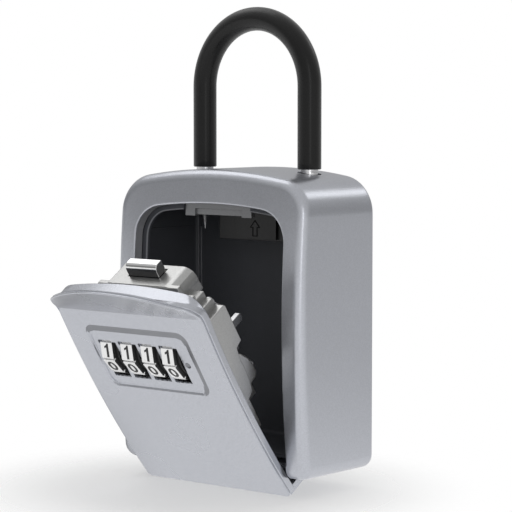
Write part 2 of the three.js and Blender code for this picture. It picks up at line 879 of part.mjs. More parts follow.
// Door panel: an arched slab with a forward-leaning pull lip, a heel and a hinge barrel
function doorOutlineRing({ half, top, arch, corner }, y) {
  return ringAt(archOutline({ half, top, arch, corner, bottom: -overrun, foot: overrun / 2 }), y);
}

function doorProfile() {
  const front = [];
  const back = [];
  const samples = 2 * sideSteps;
  for (let i = 0; i <= samples; i += 1) {
    const z = doorFootLevel + heelFrontChamfer + ((doorCrease - doorFootLevel - heelFrontChamfer) * i) / samples;
    front.push([bow(z), z]);
  }
  const heelTop = doorFootLevel + heelThickness;
  const reach = visorRise + overrun;
  const backTop = doorCrease + reach;
  for (let i = 0; i <= samples; i += 1) {
    const z = backTop + ((heelTop - backTop) * i) / samples;
    back.push([bow(z) + doorSlab, z]);
  }
  return [
    [bow(doorFootLevel) + heelFrontChamfer, doorFootLevel],
    ...front,
    [bow(doorCrease) - reach * visorSlope, doorCrease + reach],
    ...back,
    [hingeBack, heelTop],
    [hingeBack, doorFootLevel],
  ].reverse();
}

function wheelCentre(index) {
  return wheelMiddle + (index - (wheelCount - 1) / 2) * wheelPitch;
}

function makeDoorPanel() {
  const half = doorWidth / 2;
  const visorTop = doorCrease + visorRise;
  const visorFront = bow(doorCrease) - visorReach;
  const frontOutline = { half, top: visorTop, arch: visorArchRadius, corner: visorCornerRadius };
  const backOutline = { half, top: doorBackTop, arch: doorBackArchRadius, corner: doorBackCornerRadius };
  const block = loft([
    doorOutlineRing(frontOutline, visorFront - seatGap),
    doorOutlineRing(backOutline, bow(doorCrease) + doorSlab),
    doorOutlineRing(backOutline, hingeBack + overrun),
  ]);
  const slab = block.intersect(prismAlongX(doorProfile(), -half, half));
  const barrel = rodAlongX(hingeBarrelRadius, -hingeBarrelHalf, hingeBarrelHalf, hingeBack, hingeHeight);
  const bore = rodAlongX(
    hingePinRadius + hingeBoreGap, -hingeBarrelHalf - overrun, hingeBarrelHalf + overrun, hingeBack, hingeHeight,
  );
  const windows = [];
  for (let i = 0; i < wheelCount; i += 1) {
    const left = wheelCentre(i) - wheelWidth / 2 - seatGap;
    const right = left + wheelPitch - windowBar;
    const drum = rodAlongX(wheelRadius + wheelRoom, left, right, wheelAxisBack, wheelLevel, fineSides);
    const mouth = box(
      left, right, -overrun, wheelAxisBack, wheelLevel - windowHalfHeight, wheelLevel + windowHalfHeight,
    );
    windows.push(joined(drum, mouth));
  }
  const screwHoles = housingScrewPlaces().map(({ x, z }) => rodAlongY(
    screwShankRadius + edgeGap, bow(z) + doorSlab - screwDepthInDoor - edgeGap, hingeBack, x, z,
  ));
  const pocketTop = bow(doorPocketFoot) + doorSlab;
  const pocket = box(
    -half + doorEdgeLand, half - doorEdgeLand,
    bow(doorPocketTop) + doorSlab - doorPocketDepth, pocketTop + overrun / 2, doorPocketFoot, doorPocketTop,
  );
  const index = rodAlongY(
    indexRadius, -overrun, panelFloor(wheelLevel) + indexDepth,
    wheelCentre(wheelCount - 1) + wheelWidth / 2 + wheelPitch - wheelWidth - windowBar + indexAside, wheelLevel,
  );
  return cut(
    joined(slab, barrel), bore, panelCutter(), ...windows, ...screwHoles, pocket, index,
  );
}

// The digit panel's shallow recess, with a deep bevel along its top
function panelFloor(z) {
  return bow(z) + panelDepth;
}

function panelOutline(grow, growTop) {
  const points = [];
  const left = -panelLeft - grow;
  const right = panelRight + grow;
  const foot = panelFoot - grow;
  const top = panelTop - panelTopBevel + growTop;
  const places = [
    [right - panelCorner, foot + panelCorner, -Math.PI / 2],
    [right - panelCorner, top - panelCorner, 0],
    [left + panelCorner, top - panelCorner, Math.PI / 2],
    [left + panelCorner, foot + panelCorner, Math.PI],
  ];
  for (const [x, z, start] of places) {
    for (let i = 0; i <= cornerSteps; i += 1) {
      const angle = start + ((Math.PI / 2) * i) / cornerSteps;
      points.push([x + panelCorner * Math.cos(angle), z + panelCorner * Math.sin(angle)]);
    }
  }
  return points;
}

function panelCutter() {
  const floor = panelOutline(-panelSideBevel, 0);
  const mouth = panelOutline(0, panelTopBevel);
  const floorDepth = panelDepth;
  return loft([
    ringAt(floor, bow(wheelLevel) + floorDepth),
    floor.map(([x, z], i) => {
      const [mx, mz] = mouth[i];
      return [mx, bow(mz), mz];
    }),
    mouth.map(([x, z]) => [x, -overrun, z]),
  ]);
}

// Lock housing: a stepped casting that carries the wheels, the bolt and the change lever
function housingScrewPlaces() {
  return [
    { name: 'housing_screw_top_left', x: -leftScrewAcross, z: leftScrewTopLevel, seat: housingBack },
    { name: 'housing_screw_bottom_left', x: -leftScrewAcross, z: leftScrewFootLevel, seat: housingBack },
    { name: 'housing_screw_bottom_right', x: rightScrewAcross, z: rightScrewFootLevel, seat: housingBack },
    { name: 'housing_screw_top_right', x: shoulderScrewAcross, z: shoulderScrewLevel, seat: shoulderBack },
  ];
}

function housingFrontProfile() {
  const points = [];
  const samples = 2 * sideSteps;
  for (let i = 0; i <= samples; i += 1) {
    const z = housingSkirtFoot - overrun + ((humpTop + 2 * overrun - housingSkirtFoot) * i) / samples;
    points.push([bow(z) + doorSlab + seatGap, z]);
  }
  return [[-overrun, points[0][1]], ...points, [-overrun, points.at(-1)[1]]].reverse();
}

function makeLockHousing() {
  const bulge = prismAlongX([
    [0, bulgeFoot],
    [bulgeBack - bulgeChamfer, bulgeFoot],
    [bulgeBack, bulgeFoot + bulgeChamfer],
    [bulgeBack, bulgeTop - bulgeChamfer],
    [bulgeBack - bulgeChamfer, bulgeTop],
    [0, bulgeTop],
  ], -bulgeHalf, bulgeHalf);
  const hump = prismAlongY([
    [-humpFootHalf, bulgeTop - bulgeChamfer],
    [humpFootHalf, bulgeTop - bulgeChamfer],
    [humpTopHalf, humpTop],
    [-humpTopHalf, humpTop],
  ], humpFront, humpBack);
  const mass = joined(
    box(-housingHalf, housingHalf, 0, housingBack, housingFoot, housingTop),
    box(-housingHalf, housingHalf, 0, housingSkirtBack, housingSkirtFoot, housingFoot + overrun),
    bulge,
    box(-shoulderHalf, shoulderHalf, 0, shoulderBack, housingFoot, shoulderTop),
    box(-stepHalf, stepHalf, 0, stepBack, housingFoot, stepTop),
    box(-stepHalf, stepHalf, 0, humpFront + seatGap, housingFoot, bulgeTop + bulgeChamfer),
    hump,
  );
  const sill = box(
    -caseWidth, caseWidth, housingSillBack, caseDepth, housingFoot - overrun, housingSillTop,
  );
  const notch = box(
    housingHalf - housingNotchWidth, caseWidth, housingBack - housingNotchDepth, caseDepth,
    housingNotchFoot, housingNotchTop,
  );
  const drum = rodAlongX(
    wheelRadius + wheelRoom, -wheelRoomLeft, wheelRoomRight, wheelAxisBack, wheelLevel, fineSides,
  );
  const fenceRoom = box(
    -fenceLeft - seatGap, fenceRight + seatGap,
    boltFront - boltSlide, stemBack + boltSlide, wheelLevel, fenceRoomTop,
  );
  const boltRoom = box(
    -boltHalf - boltSlide, boltHalf + boltSlide,
    boltFront - boltSlide, stemBack + boltSlide, fenceRoomFoot, humpTop + overrun,
  );
  const headRoom = box(
    -boltHalf - boltSlide, boltHalf + boltSlide,
    boltFront - boltSlide, boltBack + boltSlide, boltFoot - boltDown - boltSlide, humpTop + overrun,
  );
  const springRoom = box(
    -lugHalf - seatGap, lugHalf + seatGap, stemBack, springBayBack, springFoot - seatGap, springBayTop,
  );
  const comb = box(
    -combLeft - seatGap, combRight + seatGap, combFront - seatGap, combBack + seatGap,
    wheelLevel - wheelRadius - wheelRoom - combThickness - edgeGap, wheelLevel - wheelRadius / 2,
  );
  const leverRoom = box(
    leverRoomLeft, leverRoomRight, -overrun, leverRoomBack,
    leverRoomFoot, leverRoomFoot + leverBlockHeight + leverTravel + 2 * seatGap,
  );
  const leverSlot = box(
    tabLeft - seatGap, tabRight + seatGap, leverRoomBack - overrun / 2, caseDepth,
    tabFoot - seatGap, tabTop + leverTravel + seatGap,
  );
  const shaftHole = rodAlongX(
    shaftRadius + edgeGap, -housingHalf - overrun, shaftRightEnd + edgeGap, wheelAxisBack, wheelLevel,
  );
  const screwHoles = housingScrewPlaces().map(({ x, z }) => rodAlongY(
    screwShankRadius + edgeGap, -overrun, caseDepth, x, z,
  ));
  const headBays = housingScrewPlaces().map(({ x, z, seat }) => rodAlongY(
    screwHeadRadius + edgeGap, seat, caseDepth, x, z,
  ));
  const frontCut = prismAlongX(housingFrontProfile(), -caseWidth, caseWidth);
  return cut(
    mass, sill, notch, frontCut, drum, fenceRoom, boltRoom, headRoom, springRoom, comb,
    leverRoom, leverSlot, shaftHole, ...screwHoles, ...headBays,
  );
}

// Latch bolt: a six-sided head, a stem, a fence over the wheels and a lug for its spring
function makeLatchBolt() {
  const head = prismAlongX([
    [boltFront, boltFoot],
    [boltBack - boltRearChamfer, boltFoot],
    [boltBack, boltFoot + boltRearChamfer],
    [boltBack - boltNoseBack, boltTop - boltRearChamfer / 2],
    [boltFront + boltFrontChamfer, boltTop],
    [boltFront, boltTop - boltFrontChamfer],
  ], -boltHalf, boltHalf);
  const stem = box(-stemHalf, stemHalf, boltFront, stemBack, fenceTop - seatGap, boltFoot + seatGap);
  const fence = box(-fenceLeft, fenceRight, boltFront, stemBack, fenceFoot, fenceTop);
  const lug = box(-lugHalf, lugHalf, stemBack - seatGap, lugBack, lugFoot, lugTop);
  const teeth = [];
  for (let i = 0; i < wheelCount; i += 1) {
    const middle = sleeveLeft(i) + sleeveFlangeWidth / 2;
    teeth.push(box(
      middle - toothWidth / 2, middle + toothWidth / 2, boltFront, stemBack, toothFoot, fenceFoot + seatGap,
    ));
  }
  return joined(head, stem, fence, lug, ...teeth);
}

function makeBoltSpring() {
  const rings = [];
  const steps = springTurns * springStepsPerTurn;
  const middleY = (stemBack + springBayBack) / 2;
  const low = springFoot + springWireRadius;
  const rise = springTop - springFoot - 2 * springWireRadius;
  for (let i = 0; i <= steps; i += 1) {
    const angle = (2 * Math.PI * i) / springStepsPerTurn;
    const out = new THREE.Vector3(Math.cos(angle), Math.sin(angle), 0);
    const centre = out.clone().multiplyScalar(springCoilRadius);
    centre.add(new THREE.Vector3(0, middleY, low + (rise * i) / steps));
    const ring = [];
    for (let j = 0; j < springWireSides; j += 1) {
      const turn = (2 * Math.PI * j) / springWireSides;
      const point = centre.clone().addScaledVector(out, springWireRadius * Math.cos(turn));
      point.z += springWireRadius * Math.sin(turn);
      ring.push(point.toArray());
    }
    rings.push(ring);
  }
  return loft(rings);
}

// Number wheels: ten flats with grooves between them, and a dark code sleeve beside each
function sleeveLeft(index) {
  return wheelCentre(index) + wheelWidth / 2 + edgeGap;
}

function makeWheel(index) {
  const points = [];
  const step = (2 * Math.PI) / wheelDigits;
  const facet = wheelRadius * Math.cos(step / 2);
  const half = wheelRadius * Math.sin(step / 2) * wheelFacetShare;
  for (let i = 0; i < wheelDigits; i += 1) {
    const angle = Math.PI - step / 2 - step * i;
    for (const along of [half, -half]) {
      points.push([
        wheelAxisBack + facet * Math.cos(angle) - along * Math.sin(angle),
        wheelLevel + facet * Math.sin(angle) + along * Math.cos(angle),
      ]);
    }
    const groove = angle - step / 2;
    points.push([
      wheelAxisBack + (wheelRadius - wheelGrooveDepth) * Math.cos(groove),
      wheelLevel + (wheelRadius - wheelGrooveDepth) * Math.sin(groove),
    ]);
  }
  const middle = wheelCentre(index);
  const left = middle - wheelWidth / 2;
  const ring = prismAlongX(points, left, left + wheelWidth);
  const bore = rodAlongX(
    shaftRadius + wheelBoreGap, left - overrun, left + wheelWidth + overrun, wheelAxisBack, wheelLevel,
  );
  return cut(ring, bore);
}

function makeCodeSleeve(index) {
  const left = sleeveLeft(index);
  const right = left + sleeveWidth;
  const disc = joined(
    rodAlongX(sleeveRadius, left, left + sleeveFlangeWidth, wheelAxisBack, wheelLevel, fineSides),
    rodAlongX(sleeveHubRadius, left, right, wheelAxisBack, wheelLevel),
  );
  const bore = rodAlongX(
    shaftRadius + wheelBoreGap, left - overrun, right + overrun, wheelAxisBack, wheelLevel,
  );
  const gate = box(
    left - overrun, right + overrun,
    boltFront - boltSlide, stemBack + boltSlide,
    sleeveGateFoot, wheelLevel + sleeveRadius + overrun,
  );
  return cut(disc, bore, gate);
}

function makeWheelShaft() {
  return rodAlongX(shaftRadius, -shaftLeftEnd, shaftRightEnd, wheelAxisBack, wheelLevel);
}

// A retaining ring between the last sleeve and the housing wall
function makeShaftClip() {
  const left = sleeveLeft(wheelCount - 1) + sleeveWidth + seatGap;
  const right = left + shaftClipThickness;
  const disc = rodAlongX(shaftClipRadius, left, right, wheelAxisBack, wheelLevel);
  const bore = rodAlongX(shaftRadius + edgeGap, left - overrun, right + overrun, wheelAxisBack, wheelLevel);
  return cut(disc, bore);
}

// Detent comb: a thin spring leaf with a finger under each wheel
function makeDetentComb() {
  const top = wheelLevel - wheelRadius - wheelRoom;
  const foot = top - combThickness;
  const leaf = box(-combLeft, combRight, combFront, combBack, foot, top);
  const fingers = [];
  for (let i = 0; i < wheelCount; i += 1) {
    const middle = wheelCentre(i);
    fingers.push(box(
      middle - combFingerWidth / 2, middle + combFingerWidth / 2,
      wheelAxisBack - combFingerDepth / 2, wheelAxisBack + combFingerDepth / 2,
      foot, wheelLevel - wheelRadius - seatGap,
    ));
  }
  return joined(leaf, ...fingers);
}

function makeChangeLever() {
  const foot = leverRoomFoot + seatGap;
  const block = box(
    leverRoomLeft + seatGap, leverRoomRight - seatGap, leverFront, leverRoomBack - seatGap,
    foot, foot + leverBlockHeight,
  );
  const tab = box(tabLeft, tabRight, leverRoomBack - overrun / 2, tabBack, tabFoot, tabTop);
  return joined(block, tab);
}

// The assembly
function addPiece(group, name, body, material) {
  const mesh = new THREE.Mesh(geometryOf(body), material);
  mesh.name = name;
  group.add(mesh);
}

const safe = new THREE.Group();
safe.name = 'key_safe';

const caseGroup = new THREE.Group();
caseGroup.position.set(0, -caseDepth, -middleHeight);
safe.add(caseGroup);

addPiece(caseGroup, 'case_shell', makeCaseShell(), paintedMetal);
addPiece(caseGroup, 'back_plate', makeBackPlate(), paintedMetal);
addPiece(caseGroup, 'inner_liner', makeLiner(), darkPlastic);
const linerScrewNames = ['bottom_left', 'bottom_right', 'top_left', 'top_right'];
linerScrewPlaces().forEach(([x, z], i) => {
  const length = linerWall + linerScrewBite;
  addPiece(caseGroup, `liner_screw_${linerScrewNames[i]}`, makeScrew(x, z, linerBackInside, length, -1), steel);
});
addPiece(caseGroup, 'latch_keeper', makeKeeper(), castMetal);
for (const [name, side] of [['left', -1], ['right', 1]]) {
  const seat = keeperFront() + keeperThickness;
  const length = keeperThickness + keeperScrewBite;
  const screw = makeScrew(side * keeperScrewAcross, keeperScrewLevel, seat, length, 1);
  addPiece(caseGroup, `keeper_screw_${name}`, screw, steel);
}
addPiece(caseGroup, 'hinge_pin', makeHingePin(), steel);
addPiece(caseGroup, 'release_housing', makeReleaseHousing(), blackPlastic);
addPiece(caseGroup, 'release_slider', makeReleaseSlider(), blackPlastic);
addPiece(caseGroup, 'shackle_catch', makeShackleCatch(), steel);
addPiece(caseGroup, 'shackle_bush_left', makeBush(-1), blackPlastic);
addPiece(caseGroup, 'shackle_bush_right', makeBush(1), blackPlastic);
addPiece(caseGroup, 'shackle_bar', makeShackleBar(), steel);
addPiece(caseGroup, 'shackle_sleeve', makeShackleSleeve(), vinyl);

const doorSwing = new THREE.Group();
doorSwing.position.set(0, hingeBack, hingeHeight);
doorSwing.rotation.x = openAngle;
caseGroup.add(doorSwing);

const doorGroup = new THREE.Group();
doorGroup.position.set(0, -hingeBack, -hingeHeight);
doorSwing.add(doorGroup);

addPiece(doorGroup, 'door_panel', makeDoorPanel(), paintedMetal);
addPiece(doorGroup, 'lock_housing', makeLockHousing(), castMetal);
for (const { name, x, z, seat } of housingScrewPlaces()) {
  const length = seat - bow(z) - doorSlab + screwDepthInDoor;
  addPiece(doorGroup, name, makeScrew(x, z, seat, length, 1), steel);
}
addPiece(doorGroup, 'wheel_shaft', makeWheelShaft(), steel);
addPiece(doorGroup, 'shaft_clip', makeShaftClip(), steel);
addPiece(doorGroup, 'detent_comb', makeDetentComb(), steel);
addPiece(doorGroup, 'latch_bolt', makeLatchBolt(), chrome);
addPiece(doorGroup, 'bolt_spring', makeBoltSpring(), steel);
for (let i = 0; i < wheelCount; i += 1) {
  addPiece(doorGroup, `number_wheel_${i + 1}`, makeWheel(i), wheelMetal);
  addPiece(doorGroup, `code_sleeve_${i + 1}`, makeCodeSleeve(i), blackPlastic);
}
addPiece(doorGroup, 'change_lever', makeChangeLever(), steel);

export default safe;
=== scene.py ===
"""Combination key safe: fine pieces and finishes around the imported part, in metres, +Z up."""

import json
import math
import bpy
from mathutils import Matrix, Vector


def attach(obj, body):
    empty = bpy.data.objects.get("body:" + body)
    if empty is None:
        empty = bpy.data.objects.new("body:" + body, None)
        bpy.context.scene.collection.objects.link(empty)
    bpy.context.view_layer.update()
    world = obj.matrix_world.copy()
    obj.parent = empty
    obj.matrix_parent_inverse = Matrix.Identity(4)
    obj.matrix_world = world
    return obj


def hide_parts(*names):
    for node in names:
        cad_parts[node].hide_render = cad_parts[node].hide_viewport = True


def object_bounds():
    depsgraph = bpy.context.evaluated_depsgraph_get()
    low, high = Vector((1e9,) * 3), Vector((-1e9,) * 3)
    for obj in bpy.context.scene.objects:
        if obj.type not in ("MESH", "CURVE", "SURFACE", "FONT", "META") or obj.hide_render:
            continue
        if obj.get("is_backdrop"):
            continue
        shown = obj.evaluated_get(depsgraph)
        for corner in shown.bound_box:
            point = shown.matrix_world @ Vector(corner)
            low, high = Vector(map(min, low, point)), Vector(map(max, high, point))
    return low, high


bl_info = {
    "name": "Key Safe Dressing",
    "version": (1, 0, 0),
    "blender": (4, 5, 0),
    "location": "3D View > Sidebar > Key Safe",
    "description": "Builds the painted case, the combination door and the shackle of a key safe",
    "category": "Object",
}

import bmesh
import bpy
from bpy.props import FloatProperty, FloatVectorProperty, IntProperty, PointerProperty
from mathutils import Matrix, Vector
from mathutils.geometry import delaunay_2d_cdt

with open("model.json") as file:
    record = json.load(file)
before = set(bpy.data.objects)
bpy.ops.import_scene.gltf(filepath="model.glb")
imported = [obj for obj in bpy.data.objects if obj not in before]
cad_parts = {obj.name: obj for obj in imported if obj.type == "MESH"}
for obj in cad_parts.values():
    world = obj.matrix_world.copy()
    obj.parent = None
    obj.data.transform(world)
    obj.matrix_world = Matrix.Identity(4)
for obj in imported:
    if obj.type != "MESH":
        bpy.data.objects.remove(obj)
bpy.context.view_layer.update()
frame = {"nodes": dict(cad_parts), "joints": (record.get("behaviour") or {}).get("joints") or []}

# Sizes in millimetres, in case places: x across from the middle, y back from the front, z up from the base
MM = 0.001
CASE_HALF = 48.6
CASE_HEIGHT = 120.0
CASE_DEPTH = 47.5
CASE_ARCH = 225.0
CASE_CORNER = 15.0
CASE_FOOT = 5.5
BOW_DEPTH = 2.9
BOW_REACH = 53
FRONT_FILLET = 4.0
REAR_FILLET = 2.4
FRONT_WALL = 4.7
SIDE_WALL = 4.2
OPENING_HALF = 38.7
OPENING_TOP = 106.4
OPENING_CORNER = 13.0
OPENING_FOOT = 5.0
PLATE_THICKNESS = 2.3
REBATE = 2.8
LINER_GAP = 0.3
LINER_WALL = 1.5
LINER_FLOOR = 9.1
LINER_LIP = 2.3
HINGE_BACK = 18.6
HINGE_HEIGHT = 2.8
BARREL_RADIUS = 2.6
BARREL_HALF = 38.4
DOOR_HALF = 37.4
DOOR_FOOT = 0.3
DOOR_SLAB = 4.5
DOOR_CREASE = 91.1
LIP_RISE = 16.9
LIP_REACH = 9.0
LIP_ARCH = 66.8
LIP_CORNER = 8.0
LIP_FALL = 1.45
BACK_TOP = 101.6
BACK_ARCH = 200.0
BACK_CORNER = 10.0
WHEEL_RADIUS = 12.6
WHEEL_WIDTH = 6.3
WHEEL_PITCH = 10.6
WHEEL_MIDDLE = -3.9
WHEEL_BACK = 10.8
WHEEL_LEVEL = 67.6
WHEEL_COUNT = 4
DIGIT_COUNT = 10
DIAL_TURN = math.radians(5)
SHACKLE_HALF = 27.5
SHACKLE_BACK = 31.9
SHACKLE_TOP = 180.2
SHACKLE_FOOT = 93.0
SLEEVE_FOOT = 119.85
SHACKLE_HOLE = 4.85
PIN_RADIUS = 1.4
WHEEL_BORE = 2.4
MARK_RADIUS = 1.35
WELD = 1e-3

CAMERA_PLACE = (0.5359, -0.6642, 0.0879)
CAMERA_TILT = math.radians(85.65)
CAMERA_TURN = math.radians(39.57)

door_joint = next(j for j in frame["joints"] if j["name"] == "door_hinge")
OPEN_ANGLE = -math.radians(door_joint["range_deg"][0])

IN_CASE = Matrix.Scale(MM, 4) @ Matrix.Translation((0, -CASE_DEPTH, -CASE_HEIGHT / 2))
IN_DOOR = (
    IN_CASE
    @ Matrix.Translation((0, HINGE_BACK, HINGE_HEIGHT))
    @ Matrix.Rotation(OPEN_ANGLE, 4, "X")
    @ Matrix.Translation((0, -HINGE_BACK, -HINGE_HEIGHT))
)


def bow(z):
    """How far the bowed front lies back at a height."""
    return BOW_DEPTH * ((z - CASE_HEIGHT / 2) / BOW_REACH) ** 2


def wheel_middle(index):
    """Where a wheel's middle lies across the door."""
    return WHEEL_MIDDLE + (index - (WHEEL_COUNT - 1) / 2) * WHEEL_PITCH


# Outlines

def arc(cx, cz, radius, start, end, steps):
    """Points on an arc, both ends included."""
    points = []
    for i in range(steps + 1):
        angle = start + (end - start) * i / steps
        points.append((cx + radius * math.cos(angle), cz + radius * math.sin(angle)))
    return points


def between(a, b, steps):
    """Points strictly between two points."""
    return [
        (a[0] + (b[0] - a[0]) * i / steps, a[1] + (b[1] - a[1]) * i / steps)
        for i in range(1, steps)
    ]


def arched(half, top, bottom, arch, corner, foot, steps=(8, 24, 14, 48)):
    """An outline with straight sides, round feet, round corners and a shallow arch, as (x, z)."""
    foot_steps, side_steps, corner_steps, arch_steps = steps
    centre = top - arch
    corner_x = half - corner
    corner_z = centre + math.sqrt((arch - corner) ** 2 - corner_x ** 2)
    meet = math.atan2(corner_z - centre, corner_x)
    right = arc(half - foot, bottom + foot, foot, -math.pi / 2, 0, foot_steps)
    right_corner = arc(corner_x, corner_z, corner, 0, meet, corner_steps)
    over = arc(0, centre, arch, meet, math.pi - meet, arch_steps)[1:-1]
    left_corner = arc(-corner_x, corner_z, corner, math.pi - meet, math.pi, corner_steps)
    left = arc(-half + foot, bottom + foot, foot, math.pi, math.pi * 1.5, foot_steps)
    return (
        right + between(right[-1], right_corner[0], side_steps)
        + right_corner + over + left_corner
        + between(left_corner[-1], left[0], side_steps) + left
    )


def case_outline(inset):
    """The case's outline, inset."""
    return arched(
        CASE_HALF - inset, CASE_HEIGHT - inset, inset,
        CASE_ARCH - inset, CASE_CORNER - inset, max(CASE_FOOT - inset, 0.4),
    )


def opening_outline(inset):
    """The outline of the opening in the case's front, inset."""
    return arched(
        OPENING_HALF - inset, OPENING_TOP - inset, OPENING_FOOT,
        CASE_ARCH - inset, OPENING_CORNER - inset, 1.0,
    )


def liner_outline(inset, bottom, foot):
    """The outline of the dark liner, inset."""
    return arched(
        CASE_HALF - inset, CASE_HEIGHT - inset, bottom, CASE_ARCH - inset, CASE_CORNER - inset, foot,
    )


def liner_mouth(inset, bottom, foot):
    """The outline of the liner's front lip, inset."""
    grow = LINER_LIP + inset
    return arched(
        OPENING_HALF - grow, OPENING_TOP - grow, bottom, CASE_ARCH - grow, OPENING_CORNER - grow, foot,
    )


def rounded_box(x0, x1, z0, z1, radius, steps=8):
    """A rectangle with round corners, as (x, z) from its lower right corner."""
    return (
        arc(x1 - radius, z0 + radius, radius, -math.pi / 2, 0, steps)
        + arc(x1 - radius, z1 - radius, radius, 0, math.pi / 2, steps)
        + arc(x0 + radius, z1 - radius, radius, math.pi / 2, math.pi, steps)
        + arc(x0 + radius, z0 + radius, radius, math.pi, math.pi * 1.5, steps)
    )


def box_around(loop, margin):
    """A box with small round corners around a loop."""
    across = [x for x, z in loop]
    up = [z for x, z in loop]
    return rounded_box(
        min(across) - margin, max(across) + margin, min(up) - margin, max(up) + margin, 0.5, 2,
    )


def at_depth(outline, y):
    """A ring at one depth."""
    return [Vector((x, y, z)) for x, z in outline]


def behind_front(outline, depth):
    """A ring that follows the bowed front."""
    return [Vector((x, bow(z) + depth, z)) for x, z in outline]


def rounding(near, corner, far, steps=4):
    """Rings that round the corner between two rings, both ends included."""
    rings = []
    for i in range(steps + 1):
        t = i / steps
        rings.append([
            a * (1 - t) ** 2 + b * 2 * t * (1 - t) + c * t ** 2
            for a, b, c in zip(near, corner, far)
        ])
    return rings


def towards(ring, other, distance):
    """A ring moved a distance towards another."""
    return [a + (b - a).normalized() * distance for a, b in zip(ring, other)]


# Meshes

class Surface:
    """Gathers vertices and faces in millimetres."""

    def __init__(self):
        self.verts = []
        self.faces = []

    def strip(self, rings, loop=False, turned=False):
        """Quads between rings of equal count."""
        rows = []
        for ring in rings:
            start = len(self.verts)
            self.verts.extend(ring)
            rows.append(list(range(start, start + len(ring))))
        if loop:
            rows.append(rows[0])
        for a, b in zip(rows, rows[1:]):
            count = len(a)
            for j in range(count):
                k = (j + 1) % count
                quad = (a[j], a[k], b[k], b[j])
                self.faces.append(tuple(reversed(quad)) if turned else quad)
        return rows

    def sheet(self, outer, holes, height, inner=(), lines=(), turned=False):
        """A surface over (x, z) regions between loops, raised to y by a height function."""
        points = []
        edges = []
        for loop in [outer, *holes]:
            start = len(points)
            points.extend(Vector(p) for p in loop)
            edges.extend((start + i, start + (i + 1) % len(loop)) for i in range(len(loop)))
        for line in lines:
            start = len(points)
            points.extend(Vector(p) for p in line)
            edges.extend((start + i, start + i + 1) for i in range(len(line) - 1))
        points.extend(Vector(p) for p in inner)
        found = delaunay_2d_cdt(points, edges, [], 0, 1e-6)
        places, triangles = found[0], found[2]
        start = len(self.verts)
        self.verts.extend(Vector((p.x, height(p.x, p.y), p.y)) for p in places)
        for face in triangles:
            middle = sum((places[i] for i in face), Vector((0, 0))) / len(face)
            if not inside(middle, outer) or any(inside(middle, hole) for hole in holes):
                continue
            face = tuple(start + i for i in face)
            self.faces.append(tuple(reversed(face)) if turned else face)

    def cap(self, row):
        """One face over a whole ring."""
        self.faces.append(tuple(row))

    def closed(self, rings):
        """Quads between rings, with a cap at both ends."""
        rows = self.strip(rings)
        self.cap(rows[0])
        self.cap(rows[-1])

    def mesh(self):
        """The gathered faces as one mesh, its doubles merged and its faces turned outwards."""
        made = bpy.data.meshes.new("helper")
        made.from_pydata([tuple(v) for v in self.verts], [], self.faces)
        work = bmesh.new()
        work.from_mesh(made)
        bmesh.ops.remove_doubles(work, verts=work.verts, dist=WELD)
        bmesh.ops.dissolve_degenerate(work, edges=work.edges, dist=WELD / 4)
        bmesh.ops.recalc_face_normals(work, faces=work.faces)
        work.to_mesh(made)
        work.free()
        return made

    def helper(self):
        """The gathered faces as a helper body."""
        return as_object("helper", self.mesh())


def inside(point, loop):
    """True where a point lies within a loop."""
    x, z = point[0], point[1]
    found = False
    for (ax, az), (bx, bz) in zip(loop, [*loop[1:], loop[0]]):
        if (az > z) != (bz > z) and x < (bx - ax) * (z - az) / (bz - az) + ax:
            found = not found
    return found


def as_object(name, mesh):
    """A new object with that mesh in the scene."""
    made = bpy.data.objects.new(name, mesh)
    bpy.context.scene.collection.objects.link(made)
    return made


def evaluated_mesh(obj):
    """The object's mesh with its modifiers applied."""
    graph = bpy.context.evaluated_depsgraph_get()
    return bpy.data.meshes.new_from_object(obj.evaluated_get(graph), depsgraph=graph)


def drop(*objects):
    """Removes helper objects."""
    for obj in objects:
        bpy.data.objects.remove(obj, do_unlink=True)


def bevelled(work, width, segments):
    """Rounds every edge of a convex helper that turns by more than 20 degrees."""
    edges = [e for e in work.edges if e.is_manifold and e.calc_face_angle() > math.radians(20)]
    bmesh.ops.bevel(
        work, geom=edges, offset=width, offset_type="OFFSET", segments=segments,
        profile=0.5, affect="EDGES", clamp_overlap=True,
    )


ORDER = {
    "x": lambda u, v, w: (w, u, v),
    "y": lambda u, v, w: (u, w, v),
    "z": lambda u, v, w: (u, v, w),
}


def round_ring(axis, radius, along, a, b, sides):
    """A round ring across an axis, about its middle (a, b)."""
    turns = [2 * math.pi * k / sides for k in range(sides)]
    return [ORDER[axis](a + radius * math.cos(turn), b + radius * math.sin(turn), along) for turn in turns]


def prism(points, axis, low, high, width=0.0, segments=3):
    """A helper body: an outline drawn across one axis, pushed along it, its edges rounded."""
    order = ORDER[axis]
    work = bmesh.new()
    lower = [work.verts.new(order(u, v, low)) for u, v in points]
    upper = [work.verts.new(order(u, v, high)) for u, v in points]
    work.faces.new(lower)
    work.faces.new(upper)
    for i in range(len(points)):
        k = (i + 1) % len(points)
        work.faces.new((lower[i], lower[k], upper[k], upper[i]))
    bmesh.ops.recalc_face_normals(work, faces=work.faces)
    if width:
        bevelled(work, width, segments)
    mesh = bpy.data.meshes.new("helper")
    work.to_mesh(mesh)
    work.free()
    return as_object("helper", mesh)


def block(x0, x1, y0, y1, z0, z1, width=0.0, segments=3):
    """A helper box with rounded edges."""
    return prism([(x0, y0), (x1, y0), (x1, y1), (x0, y1)], "z", z0, z1, width, segments)


def rod(axis, radius, low, high, a, b, sides=48, width=0.0):
    """A helper bar along one axis."""
    points = [
        (a + radius * math.cos(2 * math.pi * i / sides), b + radius * math.sin(2 * math.pi * i / sides))
        for i in range(sides)
    ]
    return prism(points, axis, low, high, width, 3)


